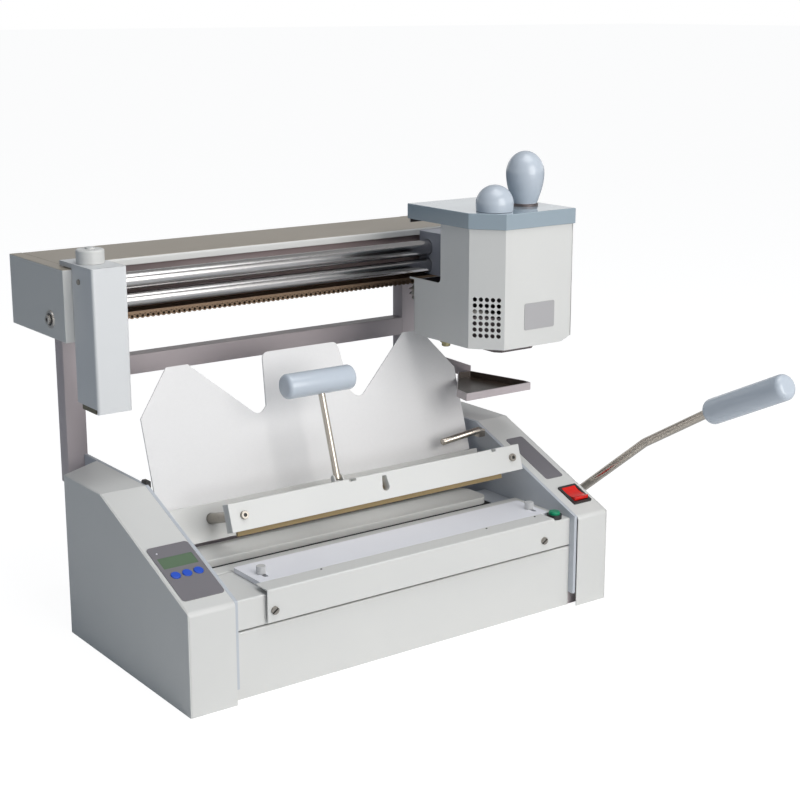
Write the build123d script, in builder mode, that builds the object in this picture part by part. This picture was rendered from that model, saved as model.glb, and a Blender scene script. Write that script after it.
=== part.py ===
from build123d import *
import os
from math import atan, cos, degrees, pi, radians, sin, tan

os.makedirs("parts", exist_ok=True)

# A desktop glue binding machine, in millimetres. X runs along the beam, Y from
# the front to the back and Z up. The origin is on the table, under the middle
# of the base. Set-back distances are measured from the front face of the base.

# Base and side cabinets
machine_width = 545
base_depth = 352
pan_sheet = 1.5
pan_flange = 15
left_cabinet_width = 56.5
right_cabinet_width = 48.3
cabinet_depth = 270
cabinet_front_height = 107
cabinet_height = 181
slope_run = 182.4
rear_wall_angle = 29.5
side_sheet = 1.5
cover_sheet = 1.2
cover_bend = 6
plate_thickness = 4
plate_setback = 2
sheet_gap = 0.3
part_gap = 0.3

# Front panel, table and nip station
panel_sheet = 1.5
panel_setback = 10
panel_height = 71
panel_return = 14
seam = 2
table_height = 104.5
table_back = 85
table_lip = 14
rail_setback = 5
rail_length = 377
rail_start = 92
rail_bottom = 75
rail_top = 110
rail_back = 28
rail_screw_inset = 8
rail_screw_height = 87.5
rail_screw_diameter = 4.4
rail_screw_head = 9
nip_bar_front = 88
nip_bar_back = 107
nip_bar_depth = 20
nip_slot_width = 12.5
nip_plate_back = 165
nip_plate_top = 108
nip_plate_thickness = 8
nip_plate_start = 60
nip_plate_length = 407
nip_corner = 12
nip_bearing_margin = 2
nip_slot_depth = 25

# Fence, its screws and the start button
fence_start = 98
fence_length = 382
fence_depth = 53.7
fence_thickness = 5.2
fence_slot = 14
fence_screw_inset = 14
fence_screw_right_inset = 10
fence_screw_setback = 50
thumb_screw_diameter = 4.4
thumb_head_diameter = 13
thumb_head_height = 6
button_from_right = 63
button_setback = 20
button_diameter = 13
button_top = 113
collar_diameter = 17
collar_height = 5

# Columns, crossbar and beam
column_width = 24
column_depth = 20
left_column_inset = 33
right_column_inset = 26
crossbar_bottom = 264
crossbar_height = 22
beam_front = 246
beam_back = 384
beam_bottom = 329
beam_top = 406
beam_sheet = 1.5
beam_bend = 2.5
cap_width = 14.5
cap_sheet = 2.5
cover_front = 282
cover_lip = 8.5
cover_foot = 14
spine_setback = 285
spine_foot = 15
shaft_setback = 262
upper_shaft_diameter = 19
upper_shaft_height = 385
lower_shaft_diameter = 18
lower_shaft_height = 363.5
washer_diameter = 20
washer_thickness = 1.5
cap_screw_setback = 282
cap_screw_height = 349
cap_screw_head = 9
cap_screw_rise = 2.5

# Roller chain with its sprocket
chain_pitch = 6.35
chain_links = 80
roller_diameter = 3.3
link_height = 5.9
link_thickness = 0.75
inner_link_width = 4.7
outer_link_width = 6.4
chain_pin_diameter = 2.3
chain_pin_length = 7.9
chain_height = 346
chain_bar_thickness = 3
chain_bar_front = 255.5
sprocket_teeth = 12
sprocket_width = 2.6
tooth_clearance = 0.45
tooth_rise = 1.4
spindle_diameter = 8
running_gap = 0.3

# Glue head
head_width = 125
head_front = 70
head_back = 213
head_low_back = 204
head_bottom = 295
head_top = 430
head_sheet = 1.5
head_corner_x = 26
head_corner_y = 32
head_step_height = 345
notch_front = 154
notch_bottom = 362
notch_rail = 10
notch_corner = 6
lower_corner_cut_x = 14.6
lower_corner_cut_z = 6
lid_overhang = 2
lid_height = 14.2
lid_edge = 3
hinge_radius = 2.5
hinge_pin_radius = 1.2
hinge_leaf = 1
knuckle_length = 8
knuckle_gap = 0.4
carrier_right_inset = 15
carrier_width = 47
carrier_back = 278
carrier_bottom = 352.6
carrier_top = 404
handle_from_right = 30
handle_setback = 120
handle_height = 65.5
handle_diameter = 43.7
handle_neck_diameter = 24.5
belly_height = 41
ring_lip = 1.5
ring_height = 3
knob_from_right = 91
knob_setback = 100
knob_diameter = 42
knob_base_diameter = 30
knob_height = 30

# Glue tank, roller and gears
tank_length = 80
tank_back = 150
tank_bottom = 290
tank_top = 331
tank_wall = 2.5
tank_taper = 15
tank_flange = 2
tank_flange_reach = 5
tank_corner = 18
roller_radius = 21.5
roller_front_gap = 8
roller_end_gap = 3
gear_teeth = 24
gear_module = 1
gear_width = 8
gear_setback = 156
gear_backlash = 0.5

# Milling carriage
carriage_inset = 10
carriage_width = 39.5
carriage_front = 198
carriage_bottom = 265
carriage_skirt = 5
carriage_top = 412
carriage_wall = 2
carriage_edge = 3
carriage_cap_back = 275
carriage_cap_thickness = 5
carriage_block_start = 15
carriage_block_back = 278
cutter_diameter = 38
cutter_thickness = 4
cutter_bottom = 255.5
cutter_setback = 222
cutter_spindle = 10
cutter_teeth = 12
cutter_web_bottom = 285
cap_knob_x = 28
cap_knob_setback = 238
cap_knob_diameter = 29.5
cap_knob_height = 14.5
cap_knob_button = 10
cap_knob_stem = 8

# Book clamp
clamp_tilt = 18
clamp_foot_setback = 175
clamp_foot_height = 128
plate_sheet = 2
plate_half_width = 211
plate_shoulder = 122.7
plate_peak = 173
peak_outer = 171
peak_inner = 144.5
valley_half = 67.7
valley_height = 104
valley_radius = 10
tab_half = 50.3
tab_flare = 57.4
tab_flare_height = 114.6
tab_top = 174
tab_corner = 8
jaw_low = -18.5
jaw_high = 21
back_jaw_depth = 14
pivot_diameter = 10
front_jaw_w = 74.4
front_jaw_depth = 12
front_jaw_low = -11.3
front_jaw_high = 18.5
front_jaw_start = 103
front_jaw_end = 493.5
pad_thickness = 4
pad_low = -16.8
pad_high = 8
pad_start = 115
pad_end = 470
guide_diameter = 11.5
guide_height = 4.5
guide_left = 119.5
guide_right = 480.5
guide_tail = 8
drop_slot_x = 300
drop_slot_bottom = -1
drop_slot_radius = 5
drop_slot_rise = 14
bolt_head_diameter = 11
bolt_head_height = 3
ear_gap = 1
clamp_handle_x = 250
clamp_handle_w = 69.5
clamp_handle_v = 22.5
clamp_rod_diameter = 7.5
clamp_grip_diameter = 27.6
clamp_grip_length = 92
clamp_grip_start = 201
clamp_grip_v = 128.8
ear_thickness = 4
ear_radius = 6
clamp_pin_diameter = 5
jaw_notch_width = 14
jaw_notch_depth = 5
second_notch_x = 450

# Nip lever
lever_setback = 110
lever_height = 76
lever_offset = 15
lever_rod_diameter = 10
lever_bend = 14
lever_grip_diameter = 28
lever_grip_length = 122
lever_elbow_setback = -40.6
lever_elbow_height = 194
lever_wrist_setback = -129
lever_wrist_height = 245.6
lever_tip_setback = -238.8
lever_tip_height = 298.3
lever_tang = 24
lever_end_gap = 0.5

# Control panel and power switch
control_inset = 5
control_width = 46.5
control_start = 18.4
control_length = 82.5
control_corner = 4
control_sheet = 0.8
window_inset = 4
window_start = 66.9
window_length = 16.5
window_margin = 4
blue_button_diameter = 10
blue_button_rise = 1.6
blue_button_depth = 3
blue_button_start = 55.6
blue_button_first = 15.8
blue_button_spacing = 12.7
bezel_width = 26.8
bezel_length = 32
bezel_from_right = 20.1
bezel_start = 36.7
bezel_rise = 2
bezel_body_depth = 12
bezel_frame = 3
rocker_rest_tilt = 10
rocker_rise = 4.4
rocker_dip = 1.6
rocker_depth = 3

# Drip tray, rest bar and mains inlet
tray_start = 447
tray_front = 138
tray_bottom = 222.5
tray_depth = 9
tray_sheet = 1.5
tray_left_back = 188
tray_waist_x = 490
tray_waist_back = 200
tray_back = 238
tray_back_x = 516
tray_right_back_inset = 7
bracket_sheet = 1.5
bracket_height = 18
rest_bar_diameter = 8
rest_bar_start = 433
rest_bar_drop = 6
rest_bar_setback = 166
rest_bar_height = 175
rest_block_depth = 12
rest_block_height = 9
rest_block_width = 8.7
inlet_from_right = 90
inlet_height = 60
inlet_flange_width = 48
inlet_flange_height = 23
inlet_body_width = 27.5
inlet_body_height = 20
inlet_flange = 2.5
inlet_body_depth = 16
inlet_wall = 2
rear_panel_top = 150

# Places worked out from the sizes above
left_face = -machine_width / 2
right_face = machine_width / 2
front_face = -base_depth / 2
back_face = base_depth / 2
left_plate_face = left_face + left_cabinet_width
right_plate_face = right_face - right_cabinet_width
well_width = right_plate_face - left_plate_face
well_middle = (left_plate_face + right_plate_face) / 2
side_back = front_face + cabinet_depth
slope_back = front_face + slope_run
slope_rise = cabinet_height - cabinet_front_height
slope_angle = degrees(atan(slope_rise / slope_run))
panel_front = front_face + panel_setback
pan_front = panel_front + panel_sheet
column_back = back_face - pan_sheet
column_front = column_back - column_depth
left_column_x = left_face + left_column_inset
right_column_x = right_face - right_column_inset - column_width
shaft_y = front_face + shaft_setback
lever_y = front_face + lever_setback
pivot_w = back_jaw_depth / 2


def slope_plane(x):
    """Plane on the sloping top of a cabinet, with its own Y up the slope."""
    normal = (0, -sin(radians(slope_angle)), cos(radians(slope_angle)))
    return Plane(origin=(x, front_face, cabinet_front_height), x_dir=(1, 0, 0), z_dir=normal)


def clamp_plane(x, w):
    """Upright plane of the clamp at x, w in front of the backing plate, with its own Y up the clamp."""
    tilt = radians(clamp_tilt)
    foot_y = front_face + clamp_foot_setback
    origin = (x, foot_y - w * cos(tilt), clamp_foot_height + w * sin(tilt))
    return Plane(origin=origin, x_dir=(1, 0, 0), z_dir=(0, -cos(tilt), sin(tilt)))


def clamp_side_plane(x):
    """Plane across the clamp at x, with its own X towards the front jaw and its own Y up the clamp."""
    tilt = radians(clamp_tilt)
    origin = (x, front_face + clamp_foot_setback, clamp_foot_height)
    return Plane(origin=origin, x_dir=(0, -cos(tilt), sin(tilt)), z_dir=(-1, 0, 0))


def folded_sheet(plane, corners, bend, thickness, side):
    """Section of a sheet folded along the given corners, drawn on a plane."""
    with BuildSketch(plane) as section:
        with BuildLine():
            FilletPolyline(*corners, radius=bend)
            offset(amount=thickness, side=side)
        make_face()
    return section.sketch


pivot_point = clamp_side_plane(0).from_local_coords((pivot_w, 0, 0))
pivot_y = pivot_point.Y
pivot_z = pivot_point.Z

# Base pan, a folded tray that stands on the table
with BuildPart() as base_pan:
    with BuildSketch():
        with Locations((0, (pan_front + back_face) / 2)):
            Rectangle(machine_width - 2 * side_sheet, back_face - pan_front)
    extrude(amount=pan_flange)
    offset(amount=-pan_sheet, openings=base_pan.faces().sort_by(Axis.Z)[-1])
base_pan.part.label = "base_pan"
export_step(base_pan.part, "parts/base_pan.step")

# Outer side panels
cabinet_outline = [
    (front_face, 0),
    (front_face, cabinet_front_height),
    (slope_back, cabinet_height),
    (side_back, cabinet_height),
    (side_back, 0),
]
with BuildPart() as side_panel_left:
    with BuildSketch(Plane.YZ.offset(left_face)):
        with BuildLine():
            Polyline(*cabinet_outline, close=True)
        make_face()
    extrude(amount=side_sheet)
side_panel_left.part.label = "side_panel_left"
export_step(side_panel_left.part, "parts/side_panel_left.step")

lever_hole_radius = lever_rod_diameter / 2 + running_gap
with BuildPart() as side_panel_right:
    with BuildSketch(Plane.YZ.offset(right_face - side_sheet)):
        with BuildLine():
            Polyline(*cabinet_outline, close=True)
        make_face()
        with Locations((lever_y, lever_height)):
            Circle(lever_hole_radius, mode=Mode.SUBTRACT)
    extrude(amount=side_sheet)
side_panel_right.part.label = "side_panel_right"
export_step(side_panel_right.part, "parts/side_panel_right.step")


def cabinet_cover(outer_x, inner_x, slope_cuts):
    """Folded front, slope, top and slanting rear wall between a side panel and its inner plate."""
    inner_back = side_back + abs(inner_x - outer_x) * tan(radians(rear_wall_angle))
    with BuildPart() as cover:
        with BuildSketch(Plane.YZ.offset(min(outer_x, inner_x))) as section:
            with BuildLine():
                Polyline(
                    (front_face, 0),
                    (front_face, cabinet_front_height),
                    (slope_back, cabinet_height),
                    (inner_back, cabinet_height),
                    (inner_back, 0),
                    close=True,
                )
            make_face()
            front_fold = (front_face, cabinet_front_height)
            fillet(section.vertices().sort_by_distance(front_fold)[0], cover_bend)
        extrude(amount=abs(inner_x - outer_x))
        with BuildSketch():
            with BuildLine():
                Polyline((outer_x, side_back), (inner_x, inner_back), (outer_x, inner_back), close=True)
            make_face()
        extrude(amount=cabinet_height, mode=Mode.SUBTRACT)
        side_faces = cover.faces().filter_by(Axis.X)
        under_face = cover.faces().sort_by(Axis.Z)[0]
        offset(amount=-cover_sheet, openings=[*side_faces, under_face])
        extrude(slope_cuts, amount=-2 * cover_sheet, mode=Mode.SUBTRACT)
        with BuildSketch():
            with Locations(((outer_x + inner_x) / 2, side_back)):
                Rectangle(2 * abs(inner_x - outer_x), 2 * (inner_back - side_back) + cover_sheet)
        extrude(amount=pan_sheet, mode=Mode.SUBTRACT)
        with BuildSketch():
            with Locations((outer_x, side_back)):
                Rectangle(2 * (pan_sheet + sheet_gap), 2 * (inner_back - side_back))
        extrude(amount=pan_flange + sheet_gap, mode=Mode.SUBTRACT)
    return cover


# Left cabinet cover, cut for the three blue buttons
blue_button_xs = [left_face + blue_button_first + i * blue_button_spacing for i in range(3)]
with BuildSketch(slope_plane(0)) as blue_button_holes:
    with Locations(*[(x, blue_button_start) for x in blue_button_xs]):
        Circle(blue_button_diameter / 2 + running_gap)
left_cover_outer = left_face + side_sheet
left_cover_inner = left_plate_face - plate_thickness
cabinet_cover_left = cabinet_cover(left_cover_outer, left_cover_inner, blue_button_holes.sketch)
cabinet_cover_left.part.label = "cabinet_cover_left"
export_step(cabinet_cover_left.part, "parts/cabinet_cover_left.step")

# Right cabinet cover, cut for the power switch
bezel_x = right_face - bezel_from_right
switch_hole_width = bezel_width - bezel_frame
switch_hole_length = bezel_length - bezel_frame
with BuildSketch(slope_plane(bezel_x)) as switch_hole:
    with Locations((0, bezel_start)):
        Rectangle(switch_hole_width, switch_hole_length)
right_cover_outer = right_face - side_sheet
right_cover_inner = right_plate_face + plate_thickness
cabinet_cover_right = cabinet_cover(right_cover_outer, right_cover_inner, switch_hole.sketch)
cabinet_cover_right.part.label = "cabinet_cover_right"
export_step(cabinet_cover_right.part, "parts/cabinet_cover_right.step")


def inner_plate(x, holes):
    """Inner plate from x to the right, notched over the pan's flange, with round holes (y, z, radius)."""
    plate_front = front_face + plate_setback
    notch_back = pan_front + pan_sheet + sheet_gap
    notch_top = pan_flange + sheet_gap
    front_top = cabinet_front_height + plate_setback * slope_rise / slope_run
    with BuildPart() as plate:
        with BuildSketch(Plane.YZ.offset(x)):
            with BuildLine():
                Polyline(
                    (plate_front, notch_top),
                    (plate_front, front_top),
                    (slope_back, cabinet_height),
                    (column_front, cabinet_height),
                    (column_front, pan_sheet),
                    (notch_back, pan_sheet),
                    (notch_back, notch_top),
                    close=True,
                )
            make_face()
            for y, z, radius in holes:
                with Locations((y, z)):
                    Circle(radius, mode=Mode.SUBTRACT)
        extrude(amount=plate_thickness)
    return plate


# Inner plates, which carry the clamp's pivots
pivot_hole = (pivot_y, pivot_z, pivot_diameter / 2 + running_gap)
inner_plate_left = inner_plate(left_plate_face - plate_thickness, [pivot_hole])
inner_plate_left.part.label = "inner_plate_left"
export_step(inner_plate_left.part, "parts/inner_plate_left.step")

inner_plate_right = inner_plate(right_plate_face, [pivot_hole, (lever_y, lever_height, lever_hole_radius)])
inner_plate_right.part.label = "inner_plate_right"
export_step(inner_plate_right.part, "parts/inner_plate_right.step")

# Rear panel behind the columns, with the mains inlet's cut-out
rear_panel_left = left_column_x
rear_panel_right = right_column_x + column_width
inlet_x = right_face - inlet_from_right
with BuildPart() as rear_panel:
    with BuildSketch(Plane.XZ.offset(-back_face)):
        with Locations(((rear_panel_left + rear_panel_right) / 2, (pan_flange + rear_panel_top) / 2)):
            Rectangle(rear_panel_right - rear_panel_left, rear_panel_top - pan_flange)
        with Locations((inlet_x, inlet_height)):
            Rectangle(inlet_body_width, inlet_body_height, mode=Mode.SUBTRACT)
    extrude(amount=pan_sheet)
rear_panel.part.label = "rear_panel"
export_step(rear_panel.part, "parts/rear_panel.step")

# Mains inlet with its three contacts
with BuildPart() as power_inlet:
    with BuildSketch(Plane.XZ.offset(-back_face)):
        with Locations((inlet_x, inlet_height)):
            RectangleRounded(inlet_flange_width, inlet_flange_height, 3)
    extrude(amount=-inlet_flange)
    with BuildSketch(Plane.XZ.offset(-back_face)):
        with Locations((inlet_x, inlet_height)):
            Rectangle(inlet_body_width, inlet_body_height)
    extrude(amount=inlet_body_depth)
    with BuildSketch(Plane.XZ.offset(-back_face - inlet_flange)):
        with Locations((inlet_x, inlet_height)):
            RectangleRounded(inlet_body_width - 2 * inlet_wall, inlet_body_height - 2 * inlet_wall, 3)
    extrude(amount=inlet_flange + inlet_body_depth - inlet_wall, mode=Mode.SUBTRACT)
    with BuildSketch(Plane.XZ.offset(-back_face + inlet_body_depth - inlet_wall)):
        contact_spacing = inlet_body_width / 4
        with Locations((inlet_x - contact_spacing, inlet_height - 2), (inlet_x, inlet_height + 2),
                       (inlet_x + contact_spacing, inlet_height - 2)):
            Rectangle(2, 4)
    extrude(amount=-(inlet_body_depth - 2 * inlet_wall))
power_inlet.part.label = "power_inlet"
export_step(power_inlet.part, "parts/power_inlet.step")

# Front panel with its top folded inwards
panel_edge = panel_front
with BuildPart() as front_panel:
    extrude(
        folded_sheet(
            Plane.YZ.offset(left_plate_face),
            [(panel_edge, 0), (panel_edge, panel_height), (panel_edge + panel_return, panel_height)],
            panel_sheet + sheet_gap, panel_sheet, Side.RIGHT,
        ),
        amount=well_width,
    )
front_panel.part.label = "front_panel"
export_step(front_panel.part, "parts/front_panel.step")

# Table top, folded down at the front and the back
table_rear = front_face + table_back
fence_screw_y = front_face + fence_screw_setback
fence_left = left_face + fence_start
fence_right = fence_left + fence_length
fence_screw_xs = [fence_left + fence_screw_inset, fence_right - fence_screw_right_inset]
button_x = right_face - button_from_right
button_y = front_face + button_setback
with BuildPart() as table_top:
    extrude(
        folded_sheet(
            Plane.YZ.offset(left_plate_face),
            [
                (panel_edge, panel_height + seam),
                (panel_edge, table_height),
                (table_rear, table_height),
                (table_rear, table_height - table_lip),
            ],
            panel_sheet + sheet_gap, panel_sheet, Side.RIGHT,
        ),
        amount=well_width,
    )
    with Locations(*[(x, fence_screw_y, table_height) for x in fence_screw_xs]):
        Hole(thumb_screw_diameter / 2 + running_gap, depth=2 * panel_sheet)
    with Locations((button_x, button_y, table_height)):
        Hole(button_diameter / 2 + running_gap, depth=2 * panel_sheet)
table_top.part.label = "table_top"
export_step(table_top.part, "parts/table_top.step")

# Front rail, a folded strip that stands off the table's apron
rail_left = left_face + rail_start
rail_front = front_face + rail_setback
rail_screw_xs = [rail_left + rail_screw_inset, rail_left + rail_length - 2 * rail_screw_inset + 1]
with BuildPart() as front_rail:
    extrude(
        folded_sheet(
            Plane.YZ.offset(rail_left),
            [(rail_front, rail_bottom), (rail_front, rail_top), (front_face + rail_back, rail_top)],
            panel_sheet + sheet_gap, panel_sheet, Side.RIGHT,
        ),
        amount=rail_length,
    )
    with BuildSketch(Plane.XZ.offset(-rail_front)):
        with Locations(*[(x, rail_screw_height) for x in rail_screw_xs]):
            Circle(rail_screw_diameter / 2 + sheet_gap)
    extrude(amount=-2 * panel_sheet, mode=Mode.SUBTRACT)
front_rail.part.label = "front_rail"
export_step(front_rail.part, "parts/front_rail.step")

# Front nip bar, fixed between the inner plates
nip_bar_top = table_height - sheet_gap
with BuildPart() as front_nip_bar:
    with BuildSketch(Plane.YZ.offset(left_plate_face)) as section:
        with Locations((front_face + (nip_bar_front + nip_bar_back) / 2, nip_bar_top - nip_bar_depth / 2)):
            Rectangle(nip_bar_back - nip_bar_front, nip_bar_depth)
        fillet(section.vertices().group_by(Axis.Y)[-1], 1.5)
    extrude(amount=well_width)
front_nip_bar.part.label = "front_nip_bar"
export_step(front_nip_bar.part, "parts/front_nip_bar.step")

# Nip channel, which floors the nip slot and carries the sliding nip plate
slot_front = front_face + nip_bar_back
slot_back = slot_front + nip_slot_width
channel_floor = nip_bar_top - nip_slot_depth
channel_top = nip_plate_top - nip_plate_thickness - running_gap
with BuildPart() as nip_channel:
    extrude(
        folded_sheet(
            Plane.YZ.offset(left_plate_face),
            [
                (slot_front, channel_floor),
                (slot_back + nip_bearing_margin, channel_floor),
                (slot_back + nip_bearing_margin, channel_top),
                (front_face + nip_plate_back - nip_bearing_margin, channel_top),
                (front_face + nip_plate_back - nip_bearing_margin, channel_floor),
            ],
            panel_sheet + sheet_gap, panel_sheet, Side.RIGHT,
        ),
        amount=well_width,
    )
nip_channel.part.label = "nip_channel"
export_step(nip_channel.part, "parts/nip_channel.step")

# Sliding nip plate, with its rear corners rounded off
nip_left = left_face + nip_plate_start
with BuildPart() as nip_plate:
    with BuildSketch(Plane.XY.offset(nip_plate_top - nip_plate_thickness)) as outline:
        with Locations((nip_left + nip_plate_length / 2, (slot_back + front_face + nip_plate_back) / 2)):
            Rectangle(nip_plate_length, front_face + nip_plate_back - slot_back)
        fillet(outline.vertices().group_by(Axis.X)[-1], nip_corner)
    extrude(amount=nip_plate_thickness)
    fillet(nip_plate.faces().sort_by(Axis.Z)[-1].edges(), 1)
nip_plate.part.label = "nip_plate"
export_step(nip_plate.part, "parts/nip_plate.step")

# Fence plate with two slots for its thumb screws
fence_front = front_face + rail_back + part_gap
fence_bottom = table_height + part_gap
with BuildPart() as fence_plate:
    with BuildSketch(Plane.XY.offset(fence_bottom)) as outline:
        with Locations(((fence_left + fence_right) / 2, fence_front + fence_depth / 2)):
            Rectangle(fence_length, fence_depth)
        fillet(outline.vertices(), 2)
        slot_radius = thumb_screw_diameter / 2 + running_gap
        slot_middle = fence_screw_y - fence_slot / 2 + slot_radius
        with Locations(*[(x, slot_middle) for x in fence_screw_xs]):
            SlotOverall(fence_slot, 2 * slot_radius, rotation=90, mode=Mode.SUBTRACT)
    extrude(amount=fence_thickness)
fence_plate.part.label = "fence_plate"
export_step(fence_plate.part, "parts/fence_plate.step")

# Thumb screws that hold the fence
fence_top = fence_bottom + fence_thickness
for side, x in zip(("left", "right"), fence_screw_xs):
    with BuildPart() as thumb_screw:
        with BuildSketch(Plane.XY.offset(fence_top + part_gap)):
            with Locations((x, fence_screw_y)):
                Circle(thumb_head_diameter / 2)
                with PolarLocations(thumb_head_diameter / 2 + 0.6, 16):
                    Circle(1, mode=Mode.SUBTRACT)
        extrude(amount=thumb_head_height)
        with BuildSketch(Plane.XY.offset(table_height - 2 * panel_sheet - thumb_head_height)):
            with Locations((x, fence_screw_y)):
                Circle(thumb_screw_diameter / 2)
        extrude(until=Until.NEXT)
    thumb_screw.part.label = f"thumb_screw_{side}"
    export_step(thumb_screw.part, f"parts/thumb_screw_{side}.step")

# Start button and its collar
with BuildPart() as button_collar:
    with BuildSketch(Plane.XY.offset(table_height)):
        with Locations((button_x, button_y)):
            Circle(collar_diameter / 2)
            Circle(button_diameter / 2 + running_gap, mode=Mode.SUBTRACT)
    extrude(amount=collar_height)
button_collar.part.label = "button_collar"
export_step(button_collar.part, "parts/button_collar.step")

with BuildPart() as green_button:
    with BuildSketch(Plane.XY.offset(table_height - collar_height)):
        with Locations((button_x, button_y)):
            Circle(button_diameter / 2)
    extrude(amount=button_top - table_height + collar_height)
    fillet(green_button.faces().sort_by(Axis.Z)[-1].edges(), 1.5)
green_button.part.label = "green_button"
export_step(green_button.part, "parts/green_button.step")

# Columns and the crossbar between them
for side, x in (("left", left_column_x), ("right", right_column_x)):
    with BuildPart() as column:
        with BuildSketch(Plane.XY.offset(pan_sheet)):
            with Locations((x + column_width / 2, (column_front + column_back) / 2)):
                Rectangle(column_width, column_depth)
        extrude(amount=beam_top - beam_sheet - pan_sheet)
    column.part.label = f"column_{side}"
    export_step(column.part, f"parts/column_{side}.step")

crossbar_length = right_column_x - left_column_x - column_width
with BuildPart() as crossbar:
    with BuildSketch(Plane.YZ.offset(left_column_x + column_width)):
        with Locations(((column_front + column_back) / 2, crossbar_bottom + crossbar_height / 2)):
            Rectangle(column_depth, crossbar_height)
    extrude(amount=crossbar_length)
crossbar.part.label = "crossbar"
export_step(crossbar.part, "parts/crossbar.step")

# End caps of the beam, open inwards and below
beam_front_y = front_face + beam_front
beam_back_y = front_face + beam_back
beam_height = beam_top - beam_bottom
for side, x, inner in (("left", left_face, -1), ("right", right_face - cap_width, 0)):
    with BuildPart() as beam_end:
        with BuildSketch(Plane.YZ.offset(x)):
            with Locations(((beam_front_y + beam_back_y) / 2, (beam_top + beam_bottom) / 2)):
                Rectangle(beam_back_y - beam_front_y, beam_height)
        extrude(amount=cap_width)
        inner_face = beam_end.faces().sort_by(Axis.X)[inner]
        under_face = beam_end.faces().sort_by(Axis.Z)[0]
        offset(amount=-cap_sheet, openings=[inner_face, under_face])
    beam_end.part.label = f"beam_end_{side}"
    export_step(beam_end.part, f"parts/beam_end_{side}.step")

# Beam cover, folded over the top and down the back
cover_length = machine_width - 2 * cap_width
with BuildPart() as beam_cover:
    extrude(
        folded_sheet(
            Plane.YZ.offset(left_face + cap_width),
            [
                (front_face + cover_front, beam_top - cover_lip),
                (front_face + cover_front, beam_top),
                (beam_back_y, beam_top),
                (beam_back_y, beam_bottom),
                (beam_back_y - cover_foot, beam_bottom),
            ],
            beam_bend, beam_sheet, Side.RIGHT,
        ),
        amount=cover_length,
    )
beam_cover.part.label = "beam_cover"
export_step(beam_cover.part, "parts/beam_cover.step")

# Spine wall inside the beam
inside_length = machine_width - 2 * cap_sheet
spine_y = front_face + spine_setback
with BuildPart() as beam_spine:
    extrude(
        folded_sheet(
            Plane.YZ.offset(left_face + cap_sheet),
            [
                (spine_y, beam_top - cap_sheet),
                (spine_y, beam_bottom),
                (spine_y + spine_foot, beam_bottom),
            ],
            beam_bend, beam_sheet, Side.LEFT,
        ),
        amount=inside_length,
    )
beam_spine.part.label = "beam_spine"
export_step(beam_spine.part, "parts/beam_spine.step")

# Guide shafts for the carriage and the head
with BuildPart() as guide_shafts:
    for diameter, height in (
        (upper_shaft_diameter, upper_shaft_height),
        (lower_shaft_diameter, lower_shaft_height),
    ):
        with BuildSketch(Plane.YZ.offset(left_face + cap_sheet)):
            with Locations((shaft_y, height)):
                Circle(diameter / 2)
        extrude(amount=inside_length)
guide_shafts.part.label = "guide_shafts"
export_step(guide_shafts.part, "parts/guide_shafts.step")

# Chain bar on the spine, and the roller chain under it
chain_bar_bottom = chain_height + link_height / 2
with BuildPart() as chain_bar:
    with BuildSketch(Plane.YZ.offset(left_face + cap_sheet)):
        with Locations(((front_face + chain_bar_front + spine_y) / 2, chain_bar_bottom + chain_bar_thickness / 2)):
            Rectangle(spine_y - front_face - chain_bar_front, chain_bar_thickness)
    extrude(amount=inside_length)
chain_bar.part.label = "chain_bar"
export_step(chain_bar.part, "parts/chain_bar.step")

head_left = right_face - head_width
tank_left = head_left + 10
sprocket_x = tank_left + tank_length / 2
links_right_of_sprocket = int((right_face - cap_width - link_height - sprocket_x) / chain_pitch)
chain_right = sprocket_x + links_right_of_sprocket * chain_pitch
chain_middle = chain_right - (chain_links - 1) * chain_pitch / 2
chain_plane = Plane.XZ.offset(-shaft_y)


def link_row(count, first_middle, plane):
    """Outlines of link plates, two pitches apart, drawn on a plane."""
    flat = chain_pitch / 2 + link_height * 0.15
    tip = flat + link_height * 0.32
    half_height = link_height / 2
    with BuildSketch(plane) as row:
        with Locations((first_middle + (count - 1) * chain_pitch, chain_height)):
            with GridLocations(2 * chain_pitch, 1, count, 1):
                Polygon(
                    (-flat, half_height), (flat, half_height), (tip, 0),
                    (flat, -half_height), (-flat, -half_height), (-tip, 0),
                    align=None,
                )
    return row.sketch


def pin_row(radius, plane):
    """Circles at every joint of the chain, drawn on a plane."""
    with BuildSketch(plane) as row:
        with Locations((chain_middle, chain_height)):
            with GridLocations(chain_pitch, 1, chain_links, 1):
                Circle(radius)
    return row.sketch


first_link = chain_middle - (chain_links - 2) * chain_pitch / 2
with BuildPart() as drive_chain:
    for side in (-1, 1):
        inner_plane = chain_plane.offset(side * inner_link_width / 2)
        outer_plane = chain_plane.offset(side * outer_link_width / 2)
        extrude(link_row(chain_links // 2, first_link, inner_plane), amount=-side * link_thickness)
        extrude(link_row(chain_links // 2 - 1, first_link + chain_pitch, outer_plane),
                amount=-side * link_thickness)
    extrude(pin_row(roller_diameter / 2, chain_plane.offset(-inner_link_width / 2)), amount=inner_link_width)
    extrude(pin_row(chain_pin_diameter / 2, chain_plane.offset(-chain_pin_length / 2)), amount=chain_pin_length)
drive_chain.part.label = "drive_chain"
export_step(drive_chain.part, "parts/drive_chain.step")

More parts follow.
